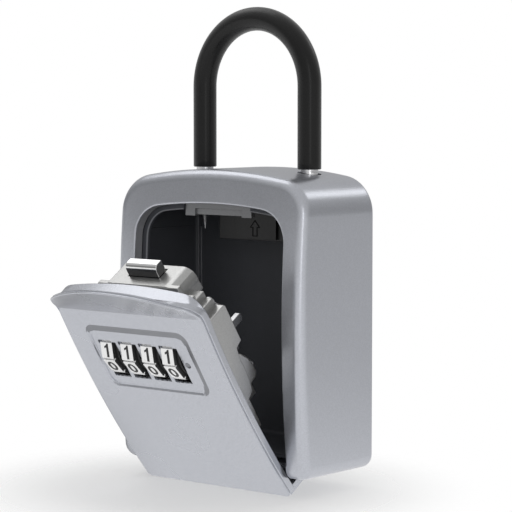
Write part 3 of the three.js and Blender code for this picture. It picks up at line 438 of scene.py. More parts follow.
def carved(first, added=(), taken=()):
    """Joins helpers to the first, takes others away, and gives one mesh. All helpers are removed."""
    groups = []
    for kind, bodies in (("UNION", added), ("DIFFERENCE", taken)):
        if not bodies:
            continue
        group = bpy.data.collections.new("helpers")
        for body in bodies:
            group.objects.link(body)
            bpy.context.scene.collection.objects.unlink(body)
        bpy.context.scene.collection.children.link(group)
        groups.append(group)
        step = first.modifiers.new("shape", "BOOLEAN")
        step.operation = kind
        step.operand_type = "COLLECTION"
        step.collection = group
        step.solver = "EXACT"
        step.use_self = kind == "DIFFERENCE"
    mesh = evaluated_mesh(first)
    drop(first, *added, *taken)
    for group in groups:
        bpy.data.collections.remove(group)
    return mesh


def smoothed(mesh, sharp=32):
    """Smooth shading, with crisp edges above an angle in degrees."""
    for polygon in mesh.polygons:
        polygon.use_smooth = True
    mesh.set_sharp_from_angle(angle=math.radians(sharp))


def placed(name, mesh, place, looks, sharp=32, weighted=True):
    """A mesh drawn in case places as an object in the part's frame, with its finishes and its shading."""
    mesh.name = name
    mesh.transform(place)
    mesh.materials.clear()
    for look in looks:
        mesh.materials.append(finish_of(look))
    smoothed(mesh, sharp)
    obj = as_object(name, mesh)
    if weighted:
        step = obj.modifiers.new("normals", "WEIGHTED_NORMAL")
        step.mode = "FACE_AREA"
        step.weight = 60
        step.keep_sharp = True
        finished = evaluated_mesh(obj)
        obj.modifiers.clear()
        obj.data = finished
    return obj


def belongs(obj, body, slot, *nodes):
    """Hangs a piece under its body and hides the imported nodes that it stands for. The slot is not used."""
    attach(obj, body)
    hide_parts(*nodes)


def fitted(name, mesh, place, body, slot, looks, *nodes, marks=(), **shading):
    """A finished piece. The faces that the marks name get its second finish."""
    obj = placed(name, mesh, place, looks, **shading)
    if marks and len(marks) != len(obj.data.polygons):
        raise RuntimeError(f"the faces of {name} changed while it was placed")
    for polygon, mark in zip(obj.data.polygons, marks):
        polygon.material_index = int(mark)
    belongs(obj, body, slot, *nodes)


def softened(node, width):
    """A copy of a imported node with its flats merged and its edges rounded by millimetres."""
    work = bmesh.new()
    work.from_mesh(frame["nodes"][node].data)
    bmesh.ops.remove_doubles(work, verts=work.verts, dist=2e-6)
    bmesh.ops.recalc_face_normals(work, faces=work.faces)
    bmesh.ops.dissolve_limit(
        work, angle_limit=math.radians(0.6), use_dissolve_boundaries=False,
        verts=work.verts, edges=work.edges,
    )
    mesh = bpy.data.meshes.new(node)
    work.to_mesh(mesh)
    work.free()
    obj = as_object("helper", mesh)
    step = obj.modifiers.new("rounding", "BEVEL")
    step.width = width * MM
    step.segments = 3
    step.limit_method = "ANGLE"
    step.angle_limit = math.radians(25)
    step.use_clamp_overlap = True
    step.miter_outer = "MITER_ARC"
    made = evaluated_mesh(obj)
    drop(obj)
    return made


def refined(node, name, body, slot, look, width):
    """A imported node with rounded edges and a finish."""
    fitted(name, softened(node, width), Matrix.Identity(4), body, slot, [look], node)


# Nodes

def feed(tree, made, inputs):
    """Fills a node's inputs, by name or by place: a socket is linked, any other value is set."""
    for key, value in inputs.items():
        if isinstance(value, bpy.types.NodeSocket):
            tree.links.new(value, made.inputs[key])
        else:
            made.inputs[key].default_value = value


def add_node(tree, kind, inputs=None, **settings):
    """Adds a node with its settings and inputs, and gives its outputs."""
    made = tree.nodes.new(kind)
    for key, value in settings.items():
        setattr(made, key, value)
    feed(tree, made, inputs or {})
    return made.outputs


def calculated(tree, kind, first, second):
    """The result of a Math node."""
    return add_node(tree, "ShaderNodeMath", {0: first, 1: second}, operation=kind)[0]


def ranged(tree, source, low, high, start=0.0, end=1.0, kind="LINEAR"):
    """Maps start to end onto low to high."""
    return add_node(tree, "ShaderNodeMapRange", {
        "Value": source, "From Min": start, "From Max": end, "To Min": low, "To Max": high,
    }, interpolation_type=kind)["Result"]


# Geometry node trees

def tree_with(name, inputs):
    """A new geometry node tree with named inputs and a geometry output."""
    tree = bpy.data.node_groups.new(name, "GeometryNodeTree")
    tree.interface.new_socket(name="Geometry", in_out="INPUT", socket_type="NodeSocketGeometry")
    for label, kind, default in inputs:
        socket = tree.interface.new_socket(name=label, in_out="INPUT", socket_type=kind)
        if default is not None:
            socket.default_value = default
    tree.interface.new_socket(name="Geometry", in_out="OUTPUT", socket_type="NodeSocketGeometry")
    return tree


def ended(tree, shape, material):
    """Ends a tree in Realize Instances and Set Material."""
    whole = add_node(tree, "GeometryNodeRealizeInstances", {"Geometry": shape})
    dressed = add_node(tree, "GeometryNodeSetMaterial", {"Geometry": whole["Geometry"], "Material": material})
    add_node(tree, "NodeGroupOutput", {"Geometry": dressed["Geometry"]})
    return tree


def run_tree(obj, tree, values):
    """Applies a tree to an object with named values, and gives the plain mesh."""
    step = obj.modifiers.new("tree", "NODES")
    names = {item.name: item.identifier for item in tree.interface.items_tree if item.in_out == "INPUT"}
    step.node_group = tree
    for label, value in values.items():
        step[names[label]] = value
    bpy.context.view_layer.update()
    return evaluated_mesh(obj)


def tube_tree():
    """A round bar along the input curve, with a radius, a number of sides and flat ends."""
    tree = tree_with("swept_tube", [
        ("Radius", "NodeSocketFloat", 0.004),
        ("Sides", "NodeSocketInt", 48),
        ("Finish", "NodeSocketMaterial", None),
    ])
    entry = add_node(tree, "NodeGroupInput")
    circle = add_node(tree, "GeometryNodeCurvePrimitiveCircle", {
        "Radius": entry["Radius"], "Resolution": entry["Sides"],
    })
    sweep = add_node(tree, "GeometryNodeCurveToMesh", {
        "Curve": entry["Geometry"], "Profile Curve": circle["Curve"], "Fill Caps": True,
    })
    return ended(tree, sweep["Mesh"], entry["Finish"])


def screw_tree():
    """A copy of one screw at each input point, turned on its axis by a seeded angle."""
    tree = tree_with("cross_screws", [
        ("Screw", "NodeSocketObject", None),
        ("Turn", "NodeSocketFloat", 0.6),
        ("Seed", "NodeSocketInt", 3),
        ("Finish", "NodeSocketMaterial", None),
    ])
    entry = add_node(tree, "NodeGroupInput")
    info = add_node(tree, "GeometryNodeObjectInfo", {"Object": entry["Screw"]}, transform_space="ORIGINAL")
    copies = add_node(tree, "GeometryNodeInstanceOnPoints", {
        "Points": entry["Geometry"], "Instance": info["Geometry"],
    })
    least = calculated(tree, "MULTIPLY", entry["Turn"], -1)
    chance = add_node(tree, "FunctionNodeRandomValue", {
        2: least, 3: entry["Turn"], "Seed": entry["Seed"],
    }, data_type="FLOAT")
    axis = add_node(tree, "ShaderNodeCombineXYZ", {"Y": chance[1]})
    turned = add_node(tree, "GeometryNodeRotateInstances", {
        "Instances": copies["Instances"], "Rotation": axis["Vector"],
    })
    return ended(tree, turned["Instances"], entry["Finish"])


def swept(name, points, radius, sides, look=None):
    """The mesh of a round bar along points."""
    curve = bpy.data.curves.new(name, "CURVE")
    curve.dimensions = "3D"
    line = curve.splines.new("POLY")
    line.points.add(len(points) - 1)
    for spot, point in zip(line.points, points):
        spot.co = (*point, 1)
    carrier = as_object(name + "_path", curve)
    mesh = run_tree(carrier, group_of("tube"), {
        "Radius": radius, "Sides": sides, "Finish": look and finish_of(look),
    })
    drop(carrier)
    return mesh


# Shader node groups

def shader_group(name, inputs, outputs):
    """A new shader node group with named inputs and outputs."""
    group = bpy.data.node_groups.new(name, "ShaderNodeTree")
    for label, default in inputs:
        socket = group.interface.new_socket(name=label, in_out="INPUT", socket_type="NodeSocketFloat")
        socket.default_value = default
    for label in outputs:
        group.interface.new_socket(name=label, in_out="OUTPUT", socket_type="NodeSocketFloat")
    return group


def grain_group():
    """Fine grain of a paint, a casting or a moulding: a height, and a cloud that shifts the finish."""
    group = shader_group("surface_grain", [("Scale", 1500.0), ("Cloud Scale", 30.0)], ["Height", "Cloud"])
    entry = add_node(group, "NodeGroupInput")
    place = add_node(group, "ShaderNodeTexCoord")["Object"]
    fine = {"Vector": place, "Scale": entry["Scale"], "Detail": 3}
    cloud = {"Vector": place, "Scale": entry["Cloud Scale"], "Detail": 4}
    add_node(group, "NodeGroupOutput", {
        "Height": add_node(group, "ShaderNodeTexNoise", fine)["Fac"],
        "Cloud": add_node(group, "ShaderNodeTexNoise", cloud)["Fac"],
    })
    return group


def fleck_group():
    """Tiny flecks, brighter and darker, as in metallic paint and blasted zinc."""
    group = shader_group("metal_fleck", [("Scale", 2600.0), ("Amount", 0.25)], ["Fleck"])
    entry = add_node(group, "NodeGroupInput")
    place = add_node(group, "ShaderNodeTexCoord")["Object"]
    cells = add_node(group, "ShaderNodeTexVoronoi", {"Vector": place, "Scale": entry["Scale"]})
    red = add_node(group, "ShaderNodeSeparateColor", {"Color": cells["Color"]})["Red"]
    fleck = calculated(group, "MULTIPLY", calculated(group, "SUBTRACT", red, 0.5), entry["Amount"])
    add_node(group, "NodeGroupOutput", {"Fleck": fleck})
    return group


GROUPS = {}


def group_of(name):
    """A node group or tree, made once."""
    makers = {"grain": grain_group, "fleck": fleck_group, "tube": tube_tree, "screws": screw_tree}
    if name not in GROUPS:
        GROUPS[name] = makers[name]()
    return GROUPS[name]


def finish(name, colour, roughness, metallic=0.0, grain=1500.0, bump=0.02, cloud=30.0, spread=0.06,
           shade=0.05, fleck=0.0, specular=0.5, sheen=0.0, stretch=None):
    """A material: a base colour that clouds and flecks vary, a roughness that clouds vary, and fine bump."""
    material = bpy.data.materials.new(name)
    material.use_nodes = True
    tree = material.node_tree
    pattern = add_node(tree, "ShaderNodeGroup", {
        "Scale": grain, "Cloud Scale": cloud,
    }, node_tree=group_of("grain"))
    shades = ranged(tree, pattern["Cloud"], 1 - shade, 1 + shade)
    if fleck:
        specks = add_node(tree, "ShaderNodeGroup", {"Amount": fleck}, node_tree=group_of("fleck"))
        shades = calculated(tree, "ADD", shades, specks["Fleck"])
    tint = add_node(tree, "ShaderNodeVectorMath", {0: colour[:3], "Scale": shades}, operation="SCALE")
    height = pattern["Height"]
    if stretch:
        place = add_node(tree, "ShaderNodeTexCoord")["Object"]
        along = add_node(tree, "ShaderNodeMapping", {"Vector": place, "Scale": stretch})["Vector"]
        height = add_node(tree, "ShaderNodeTexNoise", {"Vector": along, "Scale": grain, "Detail": 2})["Fac"]
    relief = add_node(tree, "ShaderNodeBump", {"Height": height, "Strength": bump, "Distance": 0.0005})
    feed(tree, tree.nodes["Principled BSDF"], {
        "Base Color": tint["Vector"],
        "Metallic": metallic,
        "Roughness": ranged(tree, pattern["Cloud"], roughness - spread, roughness + spread),
        "Specular IOR Level": specular,
        "Sheen Weight": sheen,
        "Sheen Roughness": 0.5,
        "Normal": relief["Normal"],
    })
    return material


FINISHES = {}
PAINT = dict(metallic=0.75, bump=0.03, grain=900, fleck=0.10, spread=0.03, shade=0.02)
CASTING = dict(metallic=0.9, bump=0.06, grain=1200, fleck=0.12)
PLATING = dict(metallic=1.0, bump=0.012, grain=700, spread=0.02, stretch=(0.06, 1, 1))


def finish_of(name):
    """A material of the safe, made once from the panel's colours."""
    look = bpy.context.scene.key_safe_finish
    gloss = look.paint_roughness
    rows = {
        "case_paint": (look.paint, gloss, PAINT),
        "door_paint": (look.paint, gloss - 0.02, PAINT),
        # A darker copy of the door paint: painted shade on the digit panel's top and right bevels and in the
        # index dimple.
        "recess_painted_shade": ([0.47 * c for c in look.paint], gloss + 0.03, PAINT),
        # A darker, less metallic copy of the case paint, set to the shaded tone of the opening's inner walls:
        # painted shade.
        "reveal_painted_shade": ((0.37, 0.375, 0.395), 0.45, {**PAINT, "metallic": 0.2, "fleck": 0.08}),
        "cast_zinc": (look.casting, 0.30, CASTING),
        # A darker copy of the casting: painted shade on the sides of the housing's upper part.
        "cast_painted_shade": ([0.60 * c for c in look.casting], 0.34, CASTING),
        "bolt_chrome": ((0.80, 0.80, 0.80), 0.10, PLATING),
        # A near-black copy of the plating: painted shade on the bolt head's front and sides and on the change
        # lever's right side.
        "plating_painted_shade": ((0.14, 0.14, 0.142), 0.24, PLATING),
        # A dark copy of the cast metal for the keeper: painted shade under the opening's top.
        "keeper_painted_shade": ((0.235, 0.238, 0.245), 0.42, dict(metallic=0.7, bump=0.05, grain=1200, fleck=0.08)),
        "dial_metal": ((0.86, 0.86, 0.86), 0.28,
                       dict(metallic=0.85, bump=0.05, grain=1400, spread=0.05, stretch=(0.1, 1, 1))),
        "dial_side": ((0.10, 0.10, 0.10), 0.35, dict(metallic=0.6, bump=0.04, grain=1200)),
        "digit_ink": ((0.012, 0.012, 0.013), 0.5, dict(bump=0.02)),
        "arrow_line": ((0.002, 0.002, 0.002), 0.6, dict(bump=0.02, specular=0.1)),
        "shackle_steel": ((0.66, 0.66, 0.67), 0.22,
                          dict(metallic=1.0, bump=0.04, grain=900, stretch=(1, 1, 0.08))),
        "screw_zinc": ((0.60, 0.60, 0.61), 0.3, dict(metallic=1.0, bump=0.05, grain=1200)),
        "spring_steel": ((0.42, 0.42, 0.44), 0.35,
                         dict(metallic=1.0, bump=0.04, grain=1000, stretch=(1, 0.1, 1))),
        "sleeve_vinyl": (look.vinyl, 0.27, dict(bump=0.03, grain=500, cloud=60, spread=0.05, shade=0.15,
                                                specular=0.20, sheen=0.36)),
        "liner_plastic": (look.liner, 0.48, dict(bump=0.12, grain=1800, shade=0.12, specular=0.35)),
        # A paler copy of the liner plastic: painted highlight on the liner's front lip and its two ribs.
        "liner_painted_highlight": ((0.21, 0.215, 0.235), 0.4, dict(bump=0.06, grain=1800, shade=0.08)),
        "black_plastic": ((0.009, 0.009, 0.0095), 0.42, dict(bump=0.08, grain=1600, shade=0.1)),
    }
    if name not in FINISHES:
        colour, roughness, detail = rows[name]
        FINISHES[name] = finish(name, colour, roughness, **detail)
    return FINISHES[name]


# Settings that a user would change

def colour_setting(name, description, default):
    """A setting that holds a colour."""
    return FloatVectorProperty(
        name=name, description=description, subtype="COLOR", default=default, min=0, max=1,
    )


def length_setting(name, description, default, low, high):
    """A setting that holds a length in metres."""
    return FloatProperty(
        name=name, description=description + ", in metres", default=default, min=low, max=high,
        subtype="DISTANCE", unit="LENGTH",
    )


def power_setting(name, description, default):
    """A setting that holds a lamp's power."""
    return FloatProperty(name=name, description=description, default=default, min=0, unit="POWER")


class KeySafeFinish(bpy.types.PropertyGroup):
    """Colours and sheen of the safe"""

    paint: colour_setting("Paint", "Silver-grey paint of the case and door", (0.535, 0.55, 0.595))
    paint_roughness: FloatProperty(
        name="Paint Roughness", description="Sheen of the paint", subtype="FACTOR",
        default=0.29, min=0.05, max=1,
    )
    casting: colour_setting("Casting", "Bare cast metal of the lock housing", (0.50, 0.50, 0.495))
    vinyl: colour_setting("Vinyl", "Cover of the shackle", (0.005, 0.005, 0.005))
    liner: colour_setting("Liner", "Moulded liner of the key compartment", (0.075, 0.079, 0.090))


class KeySafeSizes(bpy.types.PropertyGroup):
    """Sizes that change the fine shapes"""

    door_rounding: length_setting("Door Rounding", "Radius along the door's edges", 0.0006, 0.0002, 0.002)
    case_steps: IntProperty(
        name="Fillet Steps", description="Steps across the case's fillets", default=10, min=3, max=24,
    )
    digit_height: length_setting("Digit Height", "Height of a digit on a wheel", 0.0056, 0.002, 0.007)
    sleeve_radius: length_setting(
        "Sleeve Radius", "Outside radius of the shackle's cover", 0.00478, 0.004, 0.006,
    )
    shackle_radius: length_setting("Shackle Radius", "Radius of the steel bar", 0.0035, 0.002, 0.0045)


class KeySafeStage(bpy.types.PropertyGroup):
    """Camera and light"""

    lens: FloatProperty(
        name="Lens", description="Focal length", default=145.3, min=20, max=400, unit="CAMERA",
    )
    key_power: power_setting("Overhead Light", "Power of the overhead softbox", 1.68)
    side_power: power_setting("Side Light", "Power of the softbox beside the camera", 0.95)
    rim_power: power_setting("Rim Light", "Power of the softbox behind the safe", 0.5)
    world_strength: FloatProperty(
        name="Studio", description="Strength of the studio's light", default=1.0, min=0, max=2,
    )
    overhead: FloatProperty(
        name="Zenith", description="Brightness straight above", default=0.8, min=0, max=3,
    )
    horizon: FloatVectorProperty(
        name="Horizon", description="Brightness around: level, across, back and corner shares", size=4,
        default=(0.53, 0.22, -0.09, -0.50),
    )


# Operators, one for each piece or group of like pieces

class KEYSAFE_OT_case(bpy.types.Operator):
    """Build the painted case shell and its back plate"""

    bl_idname = "key_safe.case"
    bl_label = "Case"

    def execute(self, context):
        steps = context.scene.key_safe_sizes.case_steps
        surface = Surface()
        plate_front = CASE_DEPTH - PLATE_THICKNESS
        rings = [at_depth(case_outline(REBATE), CASE_DEPTH), at_depth(case_outline(REAR_FILLET), CASE_DEPTH)]
        for i in range(1, steps + 1):
            angle = math.pi / 2 * i / steps
            inset = REAR_FILLET * (1 - math.sin(angle))
            rings.append(at_depth(case_outline(inset), CASE_DEPTH - REAR_FILLET * (1 - math.cos(angle))))
        rings.append(at_depth(case_outline(0), CASE_DEPTH - 2 * REAR_FILLET))
        rings.append(behind_front(case_outline(0), FRONT_FILLET + 3))
        rings.append(behind_front(case_outline(0), FRONT_FILLET + 0.4))
        for i in range(steps + 1):
            angle = math.pi / 2 * i / steps
            inset = FRONT_FILLET * (1 - math.cos(angle))
            rings.append(behind_front(case_outline(inset), FRONT_FILLET * (1 - math.sin(angle))))
        edge = opening_outline(0)
        near = behind_front(opening_outline(-0.7), 0)
        rings += [
            behind_front(case_outline(FRONT_FILLET + 0.4), 0),
            behind_front(opening_outline(-1.2), 0),
            *rounding(near, behind_front(edge, 0), behind_front(edge, 0.7), 5),
            behind_front(edge, 1.2),
            behind_front(edge, FRONT_WALL - 0.3),
            behind_front(opening_outline(-0.3), FRONT_WALL),
            behind_front(case_outline(SIDE_WALL), FRONT_WALL),
            at_depth(case_outline(SIDE_WALL), plate_front),
            at_depth(case_outline(REBATE), plate_front),
        ]
        surface.strip(rings, loop=True)
        bay_end = HINGE_BACK + BARREL_RADIUS + 0.5
        taken = [block(-OPENING_HALF, OPENING_HALF, -5, bay_end, -5, OPENING_FOOT + 1)]
        added = []
        for side in (-1, 1):
            taken.append(rod(
                "z", SHACKLE_HOLE, CASE_HEIGHT - 9, CASE_HEIGHT + 5, side * SHACKLE_HALF, SHACKLE_BACK, 64,
            ))
            ends = sorted((side * (BARREL_HALF + 0.3), side * (BARREL_HALF + 7.6)))
            added.append(block(*ends, HINGE_BACK - 4, HINGE_BACK + 4, 2.75, 7.0, 0.4))
        pin = rod("x", PIN_RADIUS, -BARREL_HALF - 5.2, BARREL_HALF + 5.2, HINGE_BACK, HINGE_HEIGHT, 32)
        first = carved(surface.helper(), taken=taken)
        mesh = carved(as_object("helper", first), added=added, taken=[pin])
        edge = opening_outline(-1.0)
        # The opening's inner walls get the darker copy of the paint: painted shade in the reveal.
        walls = [
            inside((x, z), edge) and z > OPENING_FOOT + 2 and 0.7 < y - bow(z) < FRONT_WALL + 0.5
            for x, y, z in (polygon.center for polygon in mesh.polygons)
        ]
        fitted(
            "case_body", mesh, IN_CASE, "case", "painted_case", ["case_paint", "reveal_painted_shade"], "case_shell",
            marks=walls,
        )

        surface = Surface()
        rim = case_outline(REBATE + 0.15)
        back = rounding(
            at_depth(case_outline(REBATE + 0.65), CASE_DEPTH), at_depth(rim, CASE_DEPTH),
            at_depth(rim, CASE_DEPTH - 0.5),
        )
        surface.closed([at_depth(rim, plate_front), *reversed(back)])
        fitted("rear_plate", surface.mesh(), IN_CASE, "case", "painted_case", ["case_paint"], "back_plate")
        return {"FINISHED"}


class KEYSAFE_OT_liner(bpy.types.Operator):
    """Build the dark liner of the key compartment"""

    bl_idname = "key_safe.liner"
    bl_label = "Liner"

    def execute(self, context):
        outer_inset = SIDE_WALL + LINER_GAP
        inner_inset = outer_inset + LINER_WALL
        plate_front = CASE_DEPTH - PLATE_THICKNESS
        floor_back = plate_front - LINER_WALL
        lip_front = FRONT_WALL + LINER_GAP
        lip_back = lip_front + 1.6
        bottom = LINER_FLOOR
        surface = Surface()
        outer = liner_outline(outer_inset, bottom - LINER_WALL, 1.6)
        inner = liner_outline(inner_inset, bottom, 1.6)
        mouth = liner_mouth(0, bottom, 1.6)
        back = at_depth(inner, floor_back)
        rings = [
            at_depth(outer, plate_front),
            behind_front(outer, lip_front),
            behind_front(liner_mouth(-0.6, bottom, 1.6), lip_front),
            *rounding(
                behind_front(liner_mouth(-0.5, bottom, 1.6), lip_front),
                behind_front(mouth, lip_front), behind_front(mouth, lip_front + 0.5), 4,
            ),
            behind_front(mouth, lip_back),
            behind_front(inner, lip_back),
            at_depth(inner, floor_back - 2.5),
            *rounding(
                at_depth(inner, floor_back - 2.0), back,
                at_depth(liner_outline(inner_inset + 2.0, bottom + 2.0, 1.0), floor_back), 6,
            ),
        ]
        surface.closed(rings)
        taken = [block(-17.5, 17.5, 0, 10.9, 96, CASE_HEIGHT - 6.3)]
        for side in (-1, 1):
            taken.append(rod("z", SHACKLE_HOLE, SHACKLE_FOOT, CASE_HEIGHT, side * SHACKLE_HALF, SHACKLE_BACK))
        ribs = [
            block(x - 0.28, x + 0.28, floor_back - 0.45, floor_back + 0.3, 13, 94, 0.15)
            for x in (-41.2, -39.8)
        ]
        ribs.append(block(-42.9, -42.2, lip_back + 1, floor_back - 2, 94.0, 94.6, 0.15))
        mesh = carved(surface.helper(), added=ribs, taken=taken)
        ring = liner_mouth(-0.45, bottom, 1.6)
        # The liner's front lip and the two ribs get the paler plastic: painted highlight.
        pale = []
        for polygon in mesh.polygons:
            x, y, z = polygon.center
            near_mouth = y - bow(z) < lip_front + 0.75 and inside((x, z), ring)
            on_rib = -41.6 < x < -39.4 and y < floor_back - 0.1 and abs(polygon.normal.z) < 0.5 and y > 42
            pale.append((near_mouth and z > bottom + 2) or on_rib)
        fitted(
            "liner_tray", mesh, IN_CASE, "case", "liner_plastic", ["liner_plastic", "liner_painted_highlight"],
            "inner_liner", marks=pale,
        )
        return {"FINISHED"}


class KEYSAFE_OT_door(bpy.types.Operator):
    """Build the bowed door panel with its pull lip, digit panel and windows"""

    bl_idname = "key_safe.door"
    bl_label = "Door panel"

    def window(self, left, right, low, high, grow):
        """Outline of a wheel's window, with a small nick at its upper left."""
        nick, tall, over, wide = 0.5, 0.9, 0.75, WHEEL_WIDTH + 0.2
        points = [
            (left - grow, low - grow), (right + grow, low - grow), (right + grow, high + grow),
            (left + wide + grow, high + grow), (left + wide + grow, high + over + grow),
            (left - nick - grow, high + over + grow), (left - nick - grow, high - tall - grow),
            (left - grow, high - tall - grow),
        ]
        dense = []
        for a, b in zip(points, [*points[1:], points[0]]):
            dense.append(a)
            dense.extend(between(a, b, 6))
        return dense

    def ledge(self, x):
        """Height of the flat ledge behind the pull lip."""
        centre = BACK_TOP - BACK_ARCH
        return centre + math.sqrt(BACK_ARCH ** 2 - x ** 2) - 0.4

    def face(self, x, z):
        """Depth of the door's front, with a soft crease under the pull lip."""
        soft = 0.5
        slope = LIP_REACH / LIP_RISE
        past = z - DOOR_CREASE
        if past <= -soft:
            return bow(z)
        base = bow(min(z, DOOR_CREASE))
        slope *= 1 - 0.2 * (max(abs(x) - 27, 0) / 10.4) ** 2
        if past < soft:
            return base - slope * (past + soft) ** 2 / (4 * soft)
        return base - slope * past

    def execute(self, context):
        radius = context.scene.key_safe_sizes.door_rounding / MM
        steps = (6, 34, 16, 56)

        def front_outline(inset):
            return arched(
                DOOR_HALF - inset, DOOR_CREASE + LIP_RISE - inset, DOOR_FOOT + inset,
                LIP_ARCH - inset, LIP_CORNER - inset, 1.8 - inset * 0.6, steps,
            )

        def back_outline(inset):
            return arched(
                DOOR_HALF - inset, BACK_TOP - inset, DOOR_FOOT + inset,
                BACK_ARCH - inset, BACK_CORNER - inset, 1.8 - inset * 0.6, steps,
            )

        def on_face(outline, depth=0.0):
            return [Vector((x, self.face(x, z) + depth, z)) for x, z in outline]

        surface = Surface()
        front = on_face(front_outline(0))
        back = behind_front(back_outline(0), DOOR_SLAB)
        edge_in = on_face(front_outline(radius))
        brow = []
        step = []
        shelf = []
        for f, b in zip(front, back):
            above = min(max((f.z - 84) / 8, 0), 1)
            fall = LIP_FALL * above * min(max((31 - f.x) / 9, 0), 1)
            brow.append(Vector((f.x, f.y + 2.2 + 1.5 * above, f.z - fall)))
            drop_to = min(brow[-1].z - 0.05, self.ledge(f.x)) if f.z > 84 else f.z
            step.append(Vector((f.x, brow[-1].y + 0.7, drop_to)))
            shelf.append(step[-1] * 0.5 + b * 0.5)

        def behind_edge(inset, depth):
            return [
                Vector((x, f.y + depth, z))
                for (x, z), f in zip(front_outline(inset), front)
            ]

        rings = [
            *rounding(edge_in, front, behind_edge(0, radius), 5),
            *rounding(behind_edge(0, 0.75), behind_edge(0, 0.95), behind_edge(0.3, 1.0), 3),
            behind_edge(0.42, 1.15),
            behind_edge(0.42, 1.4),
            *rounding(behind_edge(0.2, 1.5), behind_edge(0.05, 1.6), behind_edge(0.0, 1.9), 3),
            *rounding(towards(brow, front, 0.5), brow, towards(brow, step, 0.5), 4),
            *rounding(towards(step, brow, 0.3), step, towards(step, back, 0.3), 3),
            shelf,
            *rounding(towards(back, shelf, radius), back, behind_front(back_outline(radius), DOOR_SLAB), 5),
        ]
        surface.strip(rings, turned=True)

        # The digit panel: mouth, bevels and floor
        mouth = (-27.0, 25.6, 53.6, 84.1)
        floor = (-26.6, 22.7, 54.1, 81.1)
        depth = 0.9

        def panel(places, grow, corner):
            x0, x1, z0, z1 = places
            return rounded_box(x0 - grow, x1 + grow, z0 - grow, z1 + grow, corner + grow)

        def floor_y(x, z):
            return bow(z) + depth

        mouth_loop = panel(mouth, 0.35, 4.6)
        floor_loop = panel(floor, -0.35, 3.6)
        upper = on_face(panel(mouth, 0, 4.6))
        lower = behind_front(panel(floor, 0, 3.6), depth)
        rings = [
            *rounding(on_face(mouth_loop), upper, towards(upper, lower, 0.35), 3),
            *rounding(towards(lower, upper, 0.35), lower, behind_front(floor_loop, depth), 3),
        ]
        surface.strip(rings)
        bevel_edge = panel(mouth, 0.1, 4.6)

        # Windows for the wheels, and the round index mark
        windows = []
        backs = []
        for i in range(WHEEL_COUNT):
            left = wheel_middle(i) - WHEEL_WIDTH / 2 - 0.3
            right = left + WHEEL_PITCH - 2
            low, high = WHEEL_LEVEL - 9.3, WHEEL_LEVEL + 7.9
            loop = self.window(left, right, low, high, 0)
            wide = self.window(left, right, low - 2.4, high + 2.6, 0)
            grown = self.window(left, right, low, high, 0.12)
            edge = behind_front(loop, depth)
            rings = [
                *rounding(behind_front(grown, depth), edge, behind_front(loop, depth + 0.15), 2),
                behind_front(loop, depth + 0.8),
                behind_front(wide, DOOR_SLAB),
            ]
            surface.strip(rings)
            windows.append(grown)
            backs.append(wide)
        mark_x = WHEEL_MIDDLE + 1.5 * WHEEL_PITCH + WHEEL_WIDTH / 2 + 4.2
        marks = [arc(mark_x, WHEEL_LEVEL, wide, 0, 2 * math.pi, 24)[:-1] for wide in (MARK_RADIUS, 0.95, 0.5)]
        rows = surface.strip([behind_front(mark, depth + sunk) for mark, sunk in zip(marks, (0, 0.5, 0.75))])
        surface.cap(rows[-1])
        windows.append(marks[0])

        # Flat and bowed faces
        grid = [
            (x, z)
            for z in [4 + 3.0 * k for k in range(34)]
            for x in [-32 + 4.0 * k for k in range(17)]
        ]
        edge_loop = front_outline(radius)
        ridge_in = front_outline(radius + 1.5)
        grow_mouth = panel(mouth, 1.8, 4.6)
        spread = [
            p for p in grid
            if inside(p, ridge_in) and not inside(p, grow_mouth) and abs(p[1] - DOOR_CREASE) > 1.6
        ]
        lines = []
        for shift in (-0.7, -0.35, 0.0, 0.35, 0.7):
            reach = DOOR_HALF - radius - 0.05
            lines.append([(-reach + 2 * reach * k / 40, DOOR_CREASE + shift) for k in range(41)])
        surface.sheet(edge_loop, [mouth_loop], self.face, spread, lines)
        floor_in = panel(floor, -1.6, 3.6)
        wide_windows = [box_around(w, 0.8) for w in windows]
        spread = [
            (x, z)
            for x in [-24 + 2.5 * k for k in range(20)] for z in [56 + 2.5 * k for k in range(10)]
            if inside((x, z), floor_in) and not any(inside((x, z), w) for w in wide_windows)
        ]
        surface.sheet(floor_loop, windows, floor_y, spread)

        # The back, with its shallow pocket
        pocket = rounded_box(-33.8, 33.8, 8.0, 36.0, 3.0, 6)
        sunk = rounded_box(-32.8, 32.8, 9.0, 35.0, 2.4, 6)
        surface.strip([behind_front(pocket, DOOR_SLAB), behind_front(sunk, DOOR_SLAB - 1.5)])
        surface.sheet(
            sunk, [], lambda x, z: bow(z) + DOOR_SLAB - 1.5,
            [(x, z) for x in range(-30, 31, 5) for z in range(12, 34, 4)], turned=True,
        )
        back_loop = back_outline(radius)
        rim_in = back_outline(radius + 1.2)
        keep_off = [rounded_box(-35, 35, 6.8, 37.2, 3, 4), *(box_around(w, 1) for w in backs)]
        spread = [
            (x, z) for x in [-34 + 4 * k for k in range(18)] for z in [4 + 4 * k for k in range(25)]
            if inside((x, z), rim_in) and not any(inside((x, z), k) for k in keep_off)
        ]
        surface.sheet(back_loop, [pocket, *backs], lambda x, z: bow(z) + DOOR_SLAB, spread, turned=True)

        # Heel and hinge barrel
        heel = prism(
            [(5.2, DOOR_FOOT + 0.05), (HINGE_BACK, DOOR_FOOT + 0.05), (HINGE_BACK, 3.3), (6.0, 3.3),
             (5.2, 4.0)],
            "x", -DOOR_HALF + 0.3, DOOR_HALF - 0.3,
        )
        barrel = rod("x", BARREL_RADIUS, -BARREL_HALF, BARREL_HALF, HINGE_BACK, HINGE_HEIGHT, width=0.3)
        bore = rod("x", PIN_RADIUS + 0.2, -BARREL_HALF - 5, BARREL_HALF + 5, HINGE_BACK, HINGE_HEIGHT, 32)
        mesh = carved(surface.helper(), added=[heel, barrel], taken=[bore])
